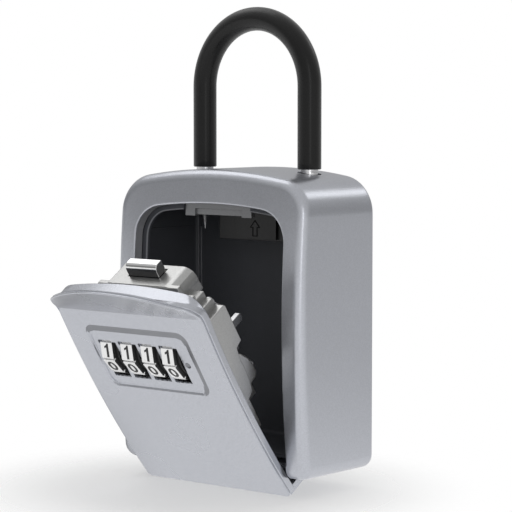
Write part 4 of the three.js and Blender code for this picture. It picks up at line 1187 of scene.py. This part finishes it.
        # The digit panel's top and right bevels and the index dimple get the darker copy of the paint:
        # painted shade.
        painted_shade_faces = []
        for polygon in mesh.polygons:
            x, y, z = polygon.center
            between_loops = inside((x, z), bevel_edge) and not inside((x, z), floor_loop)
            bevel = between_loops and y < bow(z) + depth and (z > floor[3] - 1 or x > floor[1] - 1)
            near_mark = math.hypot(x - mark_x, z - WHEEL_LEVEL) < MARK_RADIUS - 0.01
            painted_shade_faces.append(bevel or (near_mark and bow(z) + depth < y < bow(z) + depth + 0.9))
        fitted(
            "door_leaf", mesh, IN_DOOR, "door", "painted_door", ["door_paint", "recess_painted_shade"], "door_panel",
            marks=painted_shade_faces, sharp=35,
        )
        return {"FINISHED"}


class KEYSAFE_OT_housing(bpy.types.Operator):
    """Build the stepped cast housing on the back of the door"""

    bl_idname = "key_safe.housing"
    bl_label = "Lock housing"

    def hump(self):
        """The bolt's housing: a flat top with a square left end and a round right shoulder."""
        def outline(inset):
            top = 97 - inset
            return (
                [(-19.4 + inset, 87.0), (19.6 - inset, 87.0), (19.6 - inset, 88.4)]
                + arc(14.0 - inset, 91.6 - inset * 0.3, 5.4 - inset * 0.7, math.radians(-12), math.pi / 2, 14)
                + [(6, top), (-6, top)]
                + arc(-15.0 + inset * 0.6, top - 0.8, 0.8, math.pi / 2, math.radians(165), 5)
                + [(-18.4 + inset, 92.0)]
            )

        surface = Surface()
        edge = outline(0)
        surface.closed([
            *rounding(at_depth(outline(0.2), 11.7), at_depth(edge, 11.7), at_depth(edge, 11.9), 2),
            *rounding(at_depth(edge, 24.0), at_depth(edge, 24.8), at_depth(outline(0.8), 24.8), 3),
        ])
        return surface.helper()

    def execute(self, context):
        side = [
            (0, 30), (12, 30), (12, 43.2), (15.4, 44.6), (15.8, 47.3), (16.4, 48.2), (16.6, 55.5),
            (16.4, 59), (17.2, 64.2), (20.9, 65.2), (20.9, 82.2), (20.1, 83), (0, 83),
        ]
        bulge = prism(
            [(0, 61), (25.2, 61), (25.6, 62), (25.6, 77), (24.8, 79), (19.4, 86), (19.4, 90), (0, 90)],
            "x", -25, 25, 0.6,
        )
        lobe = prism(
            [(5, 61.4), (18.2, 61.0), (20.9, 56.8), (21.9, 52), (21.9, 49.0), (20.2, 47.2), (17, 46.8),
             (5, 46.8)],
            "x", -32.0, 30.6, 1.0, 4,
        )
        step = prism(
            [(0, 60), (13.6, 60), (13.6, 96.7), (11.4, 96.7), (10.6, 92.4), (0, 92.4)], "x", -20.8, 20.8, 0.4,
        )
        added = [
            bulge,
            lobe,
            block(-13, 13, 0, 25.45, 60, 88.6, 0.6),
            block(-28, 28, 0, 19, 40, 87, 0.45),
            block(-24.6, 24.6, 0, 14.6, 40, 91.6, 0.4),
            step,
            self.hump(),
        ]
        front = [(bow(z) + DOOR_SLAB + 0.3, z) for z in [24 + 4 * k for k in range(21)]]
        taken = [
            prism([(-5, front[0][1]), *front, (-5, front[-1][1])], "x", -60, 60),
            rod("x", 13.4, -26.9, 19.8, WHEEL_BACK, WHEEL_LEVEL, 64),
            block(-24.9, 17.5, 16.2, 19.7, WHEEL_LEVEL, 88.6),
            block(-8.3, 8.3, 16.2, 19.7, 78.6, 102),
            block(-8.3, 8.3, 16.2, 22.3, 94.1, 102),
            block(-2.8, 2.8, 19.4, 23.9, 80.2, 94.4),
            block(-25.7, 17.9, 8.7, 19.9, 53.45, 61.3),
            block(22.2, 30, -5, 19.7, 62, 80.6),
            block(26, 29.6, 17.2, 60, 67.3, 78.3),
            block(28.6, 34, 5.4, 6.6, 64, 80),
            block(28.6, 34, 6.2, 8.4, 60.6, 63.4),
            rod("x", 2.15, -36, 21.15, WHEEL_BACK, WHEEL_LEVEL, 32),
        ]
        for x, z, seat in SCREW_PLACES["housing"]:
            taken.append(rod("y", 1.4, -5, 60, x, z, 24))
            taken.append(rod("y", 2.55, seat, 60, x, z, 40))
        mesh = carved(prism(side, "x", -31, 31, 0.6), added=added, taken=taken)
        # The sides of the housing's upper part get the darker copy of the casting: painted shade.
        shaded_sides = [abs(polygon.normal.x) > 0.8 and polygon.center.z > 83.5 for polygon in mesh.polygons]
        fitted(
            "lock_casting", mesh, IN_DOOR, "door", "cast_metal", ["cast_zinc", "cast_painted_shade"], "lock_housing",
            marks=shaded_sides,
        )
        return {"FINISHED"}


# Each screw's x, its height and how far back its head sits
SCREW_PLACES = {
    "housing": [(-29, 79, 20.9), (-29, 49.5, 21.9), (27.5, 51.5, 21.9), (25.2, 84.4, 19.0)],
    "liner": [(-34, 20, 43.7), (34, 20, 43.7), (-34, 58, 43.7), (34, 58, 43.7)],
    "keeper": [(-12.6, 109.4, 10.5), (12.6, 109.4, 10.5)],
}


class KEYSAFE_OT_screws(bpy.types.Operator):
    """Set every screw of the safe from one pattern"""

    bl_idname = "key_safe.screws"
    bl_label = "Screws"

    def pattern(self, head_side):
        """One cross-slot screw seated at the origin, its head towards +Y or -Y."""
        profile = [(0.9, 1.58), (1.7, 1.42), (2.15, 1.1), (2.4, 0.6), (2.4, 0.0), (1.25, 0.0), (1.25, -2.6)]
        surface = Surface()
        surface.closed([round_ring("y", r, y * head_side, 0, 0, 32) for r, y in profile])
        slots = []
        for long, wide in ((1.55, 0.36), (0.36, 1.55)):
            low, high = sorted((0.75 * head_side, 4 * head_side))
            slots.append(block(-long, long, low, high, -wide, wide))
        mesh = carved(surface.helper(), taken=slots)
        mesh.transform(Matrix.Scale(MM, 4))
        return as_object("screw_pattern", mesh)

    def execute(self, context):
        sets = (
            ("housing", "door", IN_DOOR, 1, ("top_left", "bottom_left", "bottom_right", "top_right")),
            ("liner", "case", IN_CASE, -1, ("bottom_left", "bottom_right", "top_left", "top_right")),
            ("keeper", "case", IN_CASE, 1, ("left", "right")),
        )
        for key, body, place, side, corners in sets:
            name = key + "_screws"
            pattern = self.pattern(side)
            points = bpy.data.meshes.new(name)
            points.from_pydata([(x * MM, y * MM, z * MM) for x, z, y in SCREW_PLACES[key]], [], [])
            carrier = as_object(name + "_points", points)
            mesh = run_tree(carrier, group_of("screws"), {
                "Screw": pattern, "Turn": 0.7, "Seed": 5, "Finish": finish_of("screw_zinc"),
            })
            drop(carrier, pattern)
            nodes = [f"{key}_screw_{corner}" for corner in corners]
            fitted(
                name, mesh, place @ Matrix.Scale(1 / MM, 4), body, "screw_steel", ["screw_zinc"], *nodes,
                weighted=False,
            )
        return {"FINISHED"}


class KEYSAFE_OT_wheels(bpy.types.Operator):
    """Build the number wheels with their digits and the dark code sleeves"""

    bl_idname = "key_safe.wheels"
    bl_label = "Number wheels"

    def digit(self, value):
        """One digit as a flat mesh, centred, in millimetres."""
        if value == 1:
            return self.plain_one()
        curve = bpy.data.curves.new("digit", "FONT")
        curve.body = str(value)
        curve.size = 6.0
        curve.align_x = "CENTER"
        curve.extrude = 0.05
        curve.offset = 0.15
        curve.resolution_u = 6
        obj = as_object("helper", curve)
        mesh = evaluated_mesh(obj)
        drop(obj)
        low = [min(v.co[k] for v in mesh.vertices) for k in range(3)]
        high = [max(v.co[k] for v in mesh.vertices) for k in range(3)]
        mesh.transform(Matrix.Translation((-(low[0] + high[0]) / 2, -(low[1] + high[1]) / 2, 0)))
        scale = size_of_digit() * 0.96 / (high[1] - low[1])
        mesh.transform(Matrix.Diagonal((scale * 1.16, scale, 1, 1)))
        return mesh

    def plain_one(self):
        """A one with a flag and no foot."""
        tall = size_of_digit()
        outline = [
            (0.04, 0), (0.25, 0), (0.25, 1), (0.11, 1),
            (0.05, 0.89), (-0.13, 0.79), (-0.13, 0.64), (0.04, 0.71),
        ]
        points = [(tall * (x - 0.06), tall * (z - 0.5)) for x, z in outline]
        obj = prism(points, "z", -0.05, 0.05)
        mesh = obj.data
        bpy.data.objects.remove(obj, do_unlink=True)
        return mesh

    def execute(self, context):
        step = 2 * math.pi / DIGIT_COUNT
        facet = WHEEL_RADIUS * math.cos(step / 2)
        half = WHEEL_RADIUS * math.sin(step / 2) * 0.89
        digits = [self.digit(value) for value in range(DIGIT_COUNT)]
        for index in range(WHEEL_COUNT):
            left = wheel_middle(index) - WHEEL_WIDTH / 2
            profile = []
            for i in range(DIGIT_COUNT):
                angle = math.pi - step / 2 - step * i - DIAL_TURN
                for along, sink in ((half, 0.28), (half - 0.3, 0.0), (-half + 0.3, 0.0), (-half, 0.28)):
                    out = facet - sink
                    profile.append((out * math.cos(angle) - along * math.sin(angle),
                                    out * math.sin(angle) + along * math.cos(angle)))
                groove = angle - step / 2
                deep = WHEEL_RADIUS - 1.1
                for turn in (0.012, -0.012):
                    profile.append((deep * math.cos(groove + turn), deep * math.sin(groove + turn)))

            def ring(x, shrink):
                points = []
                for u, v in profile:
                    share = 1 - shrink / math.hypot(u, v)
                    points.append(Vector((x, WHEEL_BACK + u * share, WHEEL_LEVEL + v * share)))
                return points

            def bore(x):
                points = []
                for u, v in profile:
                    far = math.hypot(u, v)
                    points.append(Vector((
                        x, WHEEL_BACK + WHEEL_BORE * u / far, WHEEL_LEVEL + WHEEL_BORE * v / far,
                    )))
                return points

            surface = Surface()
            right = left + WHEEL_WIDTH
            surface.strip([
                bore(left), ring(left, 0.35), ring(left + 0.1, 0.1), ring(left + 0.3, 0),
                ring(right - 0.3, 0), ring(right - 0.1, 0.1), ring(right, 0.35), bore(right),
            ], loop=True)
            wheel = placed(
                f"dial_{index + 1}", surface.mesh(), IN_DOOR, ["dial_metal", "digit_ink", "dial_side"],
                sharp=24,
            )
            work = bmesh.new()
            work.from_mesh(wheel.data)
            for polygon in work.faces:
                if abs(polygon.normal.x) > 0.8:
                    polygon.material_index = 2
            for i in range(DIGIT_COUNT):
                angle = math.pi - step / 2 - step * i - DIAL_TURN
                out = facet - 0.02
                mark = digits[(i + 1) % DIGIT_COUNT].copy()
                mark.transform(Matrix((
                    (1, 0, 0, wheel_middle(index)),
                    (0, math.sin(angle), math.cos(angle), WHEEL_BACK + out * math.cos(angle)),
                    (0, -math.cos(angle), math.sin(angle), WHEEL_LEVEL + out * math.sin(angle)),
                    (0, 0, 0, 1),
                )))
                mark.transform(IN_DOOR)
                first = len(work.faces)
                work.from_mesh(mark)
                work.faces.ensure_lookup_table()
                for polygon in work.faces[first:]:
                    polygon.material_index = 1
                    polygon.smooth = False
                bpy.data.meshes.remove(mark)
            work.to_mesh(wheel.data)
            work.free()
            belongs(wheel, f"wheel_{index + 1}", "wheel_metal", f"number_wheel_{index + 1}")
            self.sleeve(index, left + WHEEL_WIDTH + 0.15)
        for mesh in digits:
            bpy.data.meshes.remove(mesh)
        return {"FINISHED"}

    def sleeve(self, index, left):
        """A black code sleeve: a flanged disc with a gate for the bolt's tooth."""
        profile = [
            (WHEEL_BORE, 0), (10.3, 0), (10.5, 0.2), (10.5, 1.2), (10.3, 1.4),
            (6.2, 1.4), (5.6, 1.8), (5.6, 2.9), (WHEEL_BORE, 2.9),
        ]
        surface = Surface()
        surface.strip(
            [round_ring("x", r, left + x, WHEEL_BACK, WHEEL_LEVEL, 96) for r, x in profile], loop=True,
        )
        gate = block(left - 5, left + 8, 16.2, 19.7, 74.2, 84)
        mesh = carved(surface.helper(), taken=[gate])
        number = index + 1
        fitted(
            f"code_disc_{number}", mesh, IN_DOOR, f"wheel_{number}", "black_plastic", ["black_plastic"],
            f"code_sleeve_{number}",
        )


def size_of_digit():
    """Digit height in millimetres."""
    return bpy.context.scene.key_safe_sizes.digit_height / MM


class KEYSAFE_OT_bolt(bpy.types.Operator):
    """Build the plated latch bolt, its spring, the change lever and the small lock pieces"""

    bl_idname = "key_safe.bolt"
    bl_label = "Bolt and lock pieces"

    def execute(self, context):
        head = prism(
            [(16.5, 96.4), (20, 96.4), (21.3, 98.4), (21.3, 101.9), (21.0, 102.2)]
            + arc(18.9, 99.8, 2.4, math.pi / 2, math.pi, 8),
            "x", -7.8, 8, 0.3, 4,
        )
        added = [
            block(-7.4, 7.4, 16.5, 19.4, 84.7, 96.7, 0.2),
            block(-24.6, 17.2, 16.5, 19.4, 82, 85, 0.25),
            block(-2.5, 2.5, 19.1, 23.3, 89, 91, 0.25),
        ]
        for i in range(WHEEL_COUNT):
            middle = wheel_middle(i) + WHEEL_WIDTH / 2 + 0.15 + 0.7
            added.append(block(middle - 0.6, middle + 0.6, 16.5, 19.4, 79.4, 82.3, 0.12))
        mesh = carved(head, added=added)
        # The bolt head's front and sides get the near-black plating: painted shade.
        shaded_sides = [
            (polygon.normal.y < -0.93 or abs(polygon.normal.x) > 0.99) and polygon.center.z > 97.3
            for polygon in mesh.polygons
        ]
        fitted(
            "plated_bolt", mesh, IN_DOOR, "bolt", "bolt_chrome", ["bolt_chrome", "plating_painted_shade"], "latch_bolt",
            marks=shaded_sides,
        )

        foot = block(22.5, 29.7, 12, 19.4, 62.3, 75.3, 0.35)
        tab = prism(
            [(17.2, 69.6), (27.4, 69.6), (28.1, 70.3), (28.1, 72.4), (27.5, 73), (17.2, 73)],
            "x", 26.6, 29.0, 0.3,
        )
        mesh = carved(foot, added=[tab])
        # The lever's right side gets the near-black plating: painted shade.
        shaded_sides = [polygon.normal.x > 0.9 for polygon in mesh.polygons]
        fitted(
            "code_lever", mesh, IN_DOOR, "lever", "screw_steel", ["screw_zinc", "plating_painted_shade"], "change_lever",
            marks=shaded_sides,
        )

        points = []
        turns, per_turn = 6, 24
        low, high = 80.8, 86.3
        for i in range(turns * per_turn + 1):
            angle = 2 * math.pi * i / per_turn
            height = low + (high - low) * i / (turns * per_turn)
            points.append(IN_DOOR @ Vector((1.5 * math.cos(angle), 21.65 + 1.5 * math.sin(angle), height)))
        mesh = swept("bolt_coil", points, 0.3 * MM, 10, "spring_steel")
        fitted(
            "bolt_coil", mesh, Matrix.Identity(4), "door", "spring_steel", ["spring_steel"], "bolt_spring",
            sharp=50, weighted=False,
        )
        refined("detent_comb", "comb_leaf", "door", "spring_steel", "spring_steel", 0.12)
        refined("shaft_clip", "retaining_ring", "door", "screw_steel", "screw_zinc", 0.12)
        refined("wheel_shaft", "dial_shaft", "door", "screw_steel", "screw_zinc", 0.2)
        return {"FINISHED"}


class KEYSAFE_OT_shackle(bpy.types.Operator):
    """Build the steel shackle and its black cover"""

    bl_idname = "key_safe.shackle"
    bl_label = "Shackle"

    def path(self, foot):
        """Places along the shackle from its left foot, over the arch, to its right foot."""
        centre = SHACKLE_TOP - SHACKLE_HALF
        points = [(-SHACKLE_HALF, SHACKLE_BACK, foot), (-SHACKLE_HALF, SHACKLE_BACK, foot + 0.5)]
        points += [(-SHACKLE_HALF, SHACKLE_BACK, foot + (centre - foot) * k / 6) for k in range(1, 6)]
        over = arc(0, centre, SHACKLE_HALF, math.pi, 0, 72)
        points += [(x, SHACKLE_BACK, z) for x, z in over]
        points += [(SHACKLE_HALF, SHACKLE_BACK, centre + (foot - centre) * k / 6) for k in range(1, 6)]
        points += [(SHACKLE_HALF, SHACKLE_BACK, foot + 0.5), (SHACKLE_HALF, SHACKLE_BACK, foot)]
        return points

    def taper(self, radius):
        """A cutter that leaves a cone at the end of the left leg."""
        profile = [
            (7, 90), (7, 104), (radius + 0.05, 103.6), (1.3, 100.0), (0.3, SHACKLE_FOOT + 1.2),
            (0.0, SHACKLE_FOOT + 1), (0.0, 90),
        ]
        surface = Surface()
        surface.strip([round_ring("z", r, z, -SHACKLE_HALF, SHACKLE_BACK, 48) for r, z in profile], loop=True)
        return surface.helper()

    def execute(self, context):
        sizes = context.scene.key_safe_sizes
        bar_radius = sizes.shackle_radius / MM
        sleeve_radius = sizes.sleeve_radius / MM
        right = SHACKLE_HALF - bar_radius
        taken = [block(right - 5, right + 2.6, 23, 41, 98.9, 103.1)]
        for side in (-1, 1):
            outer = side * (SHACKLE_HALF + bar_radius - 0.8)
            ends = sorted((outer, outer + side * 5))
            taken.append(block(*ends, 23, 41, SLEEVE_FOOT - 1.2, SLEEVE_FOOT - 0.3))
        taken.append(self.taper(bar_radius))
        bar = as_object("helper", swept("bar", self.path(SHACKLE_FOOT), bar_radius, 64))
        mesh = carved(bar, taken=taken)
        fitted("steel_bar", mesh, IN_CASE, "shackle", "shackle_steel", ["shackle_steel"], "shackle_bar")

        surface = Surface()
        sides = 64
        centre = SHACKLE_TOP - SHACKLE_HALF
        foot = [(0.0, 0.35), (0.12, 0.12), (0.4, 0), (3, 0)]
        stations = [(-SHACKLE_HALF, SLEEVE_FOOT + rise, math.pi, less) for rise, less in foot]
        steps = 96
        for i, (x, z) in enumerate(arc(0, centre, SHACKLE_HALF, math.pi, 0, steps)):
            stations.append((x, z, math.pi - math.pi * i / steps, 0))
        stations += [(SHACKLE_HALF, SLEEVE_FOOT + rise, 0, less) for rise, less in reversed(foot)]

        def section(station, radius, shrink):
            x, z, angle, less = station
            reach = radius - (less if shrink else 0)
            ring = []
            for k in range(sides):
                turn = 2 * math.pi * k / sides
                out = reach * math.cos(turn)
                ring.append(Vector((x + out * math.cos(angle), SHACKLE_BACK + reach * math.sin(turn),
                                    z + out * math.sin(angle))))
            return ring

        outer = [section(s, sleeve_radius, True) for s in stations]
        inner = [section(s, bar_radius + 0.2, False) for s in reversed(stations)]
        surface.strip(outer + inner, loop=True)
        fitted(
            "shackle_cover", surface.mesh(), IN_CASE, "shackle", "vinyl_sleeve", ["sleeve_vinyl"],
            "shackle_sleeve", sharp=40, weighted=False,
        )
        return {"FINISHED"}


class KEYSAFE_OT_fittings(bpy.types.Operator):
    """Round off the keeper, the shackle release and the other fittings in the case"""

    bl_idname = "key_safe.fittings"
    bl_label = "Case fittings"

    def execute(self, context):
        refined("release_housing", "release_box", "case", "black_plastic", "black_plastic", 0.35)
        refined("shackle_catch", "catch_bar", "catch", "screw_steel", "screw_zinc", 0.2)
        refined("shackle_bush_left", "left_bush", "case", "black_plastic", "black_plastic", 0.2)
        refined("shackle_bush_right", "right_bush", "case", "black_plastic", "black_plastic", 0.2)
        refined("hinge_pin", "pivot_pin", "case", "screw_steel", "screw_zinc", 0.2)
        self.keeper()
        self.release()
        return {"FINISHED"}

    def keeper(self):
        """The latch keeper, with a sunk wall between its two lugs."""
        bar = softened("latch_keeper", 0.45)
        bar.transform(IN_CASE.inverted())
        wall = block(-13, 13, 8.9, 10.4, 101.5, 106, 0.3)
        mesh = carved(as_object("helper", bar), added=[wall])
        # The keeper takes the dark copy of the cast metal: painted shade.
        fitted("keeper_bar", mesh, IN_CASE, "case", "cast_metal", ["keeper_painted_shade"], "latch_keeper")

    def arrow(self, grow):
        """An upward arrow's outline, grown by half a stroke with mitred corners."""
        tips = [(0, 5.7), (2.4, 2.9), (1.1, 2.9), (1.1, -0.6), (-1.1, -0.6), (-1.1, 2.9), (-2.4, 2.9)]
        points = []
        for before, tip, after in zip([tips[-1], *tips], tips, [*tips[1:], tips[0]]):
            first = (Vector(tip) - Vector(before)).normalized()
            second = (Vector(after) - Vector(tip)).normalized()
            across = Vector((-first.y, first.x))
            miter = (across + Vector((-second.y, second.x))).normalized()
            moved = Vector(tip) + miter * grow / miter.dot(across)
            points.append((4.8 + moved.x, 93.2 + moved.y))
        return points

    def release(self):
        """The release button under a face plate that covers its slot, with a raised arrow."""
        button = softened("release_slider", 0.2)
        button.transform(IN_CASE.inverted())
        plate = block(-5.6, 15.6, 25.35, 26.15, 91.4, 104.4, 0.12)
        mesh = carved(as_object("helper", button), added=[plate])
        plain = len(mesh.polygons)
        inner, outer = self.arrow(-0.16), self.arrow(0.16)
        outline = Surface()
        outline.strip([
            at_depth(inner, 25.2), at_depth(outer, 25.2), at_depth(outer, 25.5), at_depth(inner, 25.5),
        ], loop=True)
        line = outline.mesh()
        work = bmesh.new()
        work.from_mesh(mesh)
        work.from_mesh(line)
        work.to_mesh(mesh)
        work.free()
        bpy.data.meshes.remove(line)
        marks = [index >= plain for index in range(len(mesh.polygons))]
        fitted(
            "release_button", mesh, IN_CASE, "slider", "black_plastic", ["black_plastic", "arrow_line"],
            "release_slider", marks=marks,
        )


class KEYSAFE_OT_stage(bpy.types.Operator):
    """Set the floor, the studio light and the camera"""

    bl_idname = "key_safe.stage"
    bl_label = "Stage"

    def execute(self, context):
        scene = context.scene
        stage = scene.key_safe_stage
        camera = bpy.data.objects.new("camera", bpy.data.cameras.new("camera"))
        scene.collection.objects.link(camera)
        camera.location = CAMERA_PLACE
        camera.rotation_euler = (CAMERA_TILT, 0, CAMERA_TURN)
        camera.data.lens = stage.lens
        camera.data.sensor_width = 36
        camera.data.clip_start = 0.01
        camera.data.clip_end = 100
        scene.camera = camera
        self.floor()
        self.sky(scene, stage)
        middle = (0, -0.03, 0)
        self.softbox("overhead", (-0.55, 0.0, 0.95), middle, 0.62, 0.72, stage.key_power)
        self.softbox("beside", (0.95, -0.90, 0.25), middle, 0.16, 0.8, stage.side_power)
        self.softbox("behind", (0.36, 0.98, 0.78), middle, 0.30, 0.26, stage.rim_power)
        scene.view_settings.view_transform = "Standard"
        return {"FINISHED"}

    def softbox(self, name, place, target, width, height, power):
        """A rectangular lamp that faces a point."""
        lamp = bpy.data.lights.new(name, "AREA")
        lamp.shape = "RECTANGLE"
        lamp.size = width
        lamp.size_y = height
        lamp.energy = power
        obj = bpy.data.objects.new(name, lamp)
        bpy.context.scene.collection.objects.link(obj)
        obj.location = place
        obj.rotation_euler = (Vector(target) - Vector(place)).to_track_quat("-Z", "Y").to_euler()

    def floor(self):
        """A wide pale floor for the safe's shadow, which the camera sees through further out.

        So a door that hangs lower still shows. Mirrored rays meet a glow instead of the lit floor, a painted
        reflection, dimmed beside and behind the safe as a painted shadow.
        """
        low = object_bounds()[0].z - 0.0004
        mesh = bpy.data.meshes.new("floor")
        reach = 20
        mesh.from_pydata(
            [(-reach, -reach, low), (reach, -reach, low), (reach, reach, low), (-reach, reach, low)],
            [], [(0, 1, 2, 3)],
        )
        obj = as_object("floor", mesh)
        material = bpy.data.materials.new("floor")
        material.use_nodes = True
        tree = material.node_tree
        place = add_node(tree, "ShaderNodeTexCoord")["Object"]
        path = add_node(tree, "ShaderNodeLightPath")

        def distance(x, y):
            spot = {0: place, 1: (x, y, low)}
            return add_node(tree, "ShaderNodeVectorMath", spot, operation="DISTANCE")["Value"]

        shader = tree.nodes["Principled BSDF"]
        feed(tree, shader, {"Base Color": (0.90, 0.90, 0.90, 1), "Roughness": 0.7, "Specular IOR Level": 0.2})
        clear = add_node(tree, "ShaderNodeBsdfTransparent")["BSDF"]
        away = ranged(tree, distance(-0.005, -0.045), 0.4, 1.0, 0.04, 0.115, "SMOOTHSTEP")
        share = calculated(tree, "MULTIPLY", path["Is Camera Ray"], away)
        seen = add_node(tree, "ShaderNodeMixShader", {"Fac": share, 1: shader.outputs["BSDF"], 2: clear})
        # Mirrored rays see a glow, not the lit floor: a painted reflection, with painted shadow beside and
        # behind the safe.
        beside = ranged(tree, distance(-0.10, 0.0), 0.22, 1.0, 0.03, 0.086, "SMOOTHSTEP")
        depth = add_node(tree, "ShaderNodeSeparateXYZ", {"Vector": place})["Y"]
        behind = ranged(tree, depth, 1.0, 0.62, -0.04, 0.30)
        strength = calculated(tree, "MULTIPLY", behind, beside)
        mirrored = add_node(tree, "ShaderNodeEmission", {"Strength": strength})["Emission"]
        whole = add_node(tree, "ShaderNodeMixShader", {
            "Fac": path["Is Glossy Ray"], 1: seen["Shader"], 2: mirrored,
        })
        feed(tree, tree.nodes["Material Output"], {"Surface": whole["Shader"]})
        mesh.materials.append(material)
        obj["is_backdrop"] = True

    def sky(self, scene, stage):
        """A studio around the safe: white to the camera, bright above, uneven around as the panel says."""
        world = bpy.data.worlds.new("studio")
        scene.world = world
        world.use_nodes = True
        tree = world.node_tree
        tree.nodes.clear()

        def plus(first, second):
            return calculated(tree, "ADD", first, second)

        def times(first, second):
            return calculated(tree, "MULTIPLY", first, second)

        place = add_node(tree, "ShaderNodeTexCoord")["Generated"]
        x, y, z = add_node(tree, "ShaderNodeSeparateXYZ", {"Vector": place})
        level, across, back, corner = stage.horizon
        around = plus(plus(plus(times(times(x, y), corner), times(x, across)), times(y, back)), level)
        rise = ranged(tree, z, 0.0, 1.0, 0.05, 0.85, "SMOOTHSTEP")
        light = plus(times(rise, stage.overhead), times(calculated(tree, "SUBTRACT", 1.0, rise), around))
        studio = add_node(tree, "ShaderNodeBackground", {"Strength": times(light, stage.world_strength)})
        white = add_node(tree, "ShaderNodeBackground", {"Strength": 1.0, "Color": (1, 1, 1, 1)})
        choose = add_node(tree, "ShaderNodeMixShader", {
            "Fac": add_node(tree, "ShaderNodeLightPath")["Is Camera Ray"],
            1: studio["Background"], 2: white["Background"],
        })
        add_node(tree, "ShaderNodeOutputWorld", {"Surface": choose["Shader"]})


class KEYSAFE_PT_sidebar(bpy.types.Panel):
    """Lists the pieces of the safe and their settings"""

    bl_idname = "KEYSAFE_PT_sidebar"
    bl_label = "Key Safe"
    bl_space_type = "VIEW_3D"
    bl_region_type = "UI"
    bl_category = "Key Safe"

    def draw(self, context):
        layout = self.layout
        scene = context.scene
        for group in (scene.key_safe_sizes, scene.key_safe_finish, scene.key_safe_stage):
            box = layout.box()
            for name in group.__annotations__:
                box.prop(group, name)
        for operator in OPERATORS:
            layout.operator(operator.bl_idname)


OPERATORS = (
    KEYSAFE_OT_case, KEYSAFE_OT_liner, KEYSAFE_OT_door, KEYSAFE_OT_housing, KEYSAFE_OT_screws,
    KEYSAFE_OT_wheels, KEYSAFE_OT_bolt, KEYSAFE_OT_shackle, KEYSAFE_OT_fittings, KEYSAFE_OT_stage,
)
SETTINGS = (KeySafeSizes, KeySafeFinish, KeySafeStage)


def register():
    """Adds the settings, the operators and the panel."""
    for item in (*SETTINGS, *OPERATORS, KEYSAFE_PT_sidebar):
        bpy.utils.register_class(item)
    bpy.types.Scene.key_safe_sizes = PointerProperty(type=KeySafeSizes)
    bpy.types.Scene.key_safe_finish = PointerProperty(type=KeySafeFinish)
    bpy.types.Scene.key_safe_stage = PointerProperty(type=KeySafeStage)


def unregister():
    """Takes them away again."""
    del bpy.types.Scene.key_safe_stage
    del bpy.types.Scene.key_safe_finish
    del bpy.types.Scene.key_safe_sizes
    for item in reversed((*SETTINGS, *OPERATORS, KEYSAFE_PT_sidebar)):
        bpy.utils.unregister_class(item)


def main():
    """Registers the add-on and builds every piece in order."""
    register()
    bpy.ops.key_safe.case()
    bpy.ops.key_safe.liner()
    bpy.ops.key_safe.door()
    bpy.ops.key_safe.housing()
    bpy.ops.key_safe.screws()
    bpy.ops.key_safe.wheels()
    bpy.ops.key_safe.bolt()
    bpy.ops.key_safe.shackle()
    bpy.ops.key_safe.fittings()
    bpy.ops.key_safe.stage()


if __name__ == "__main__":
    main()
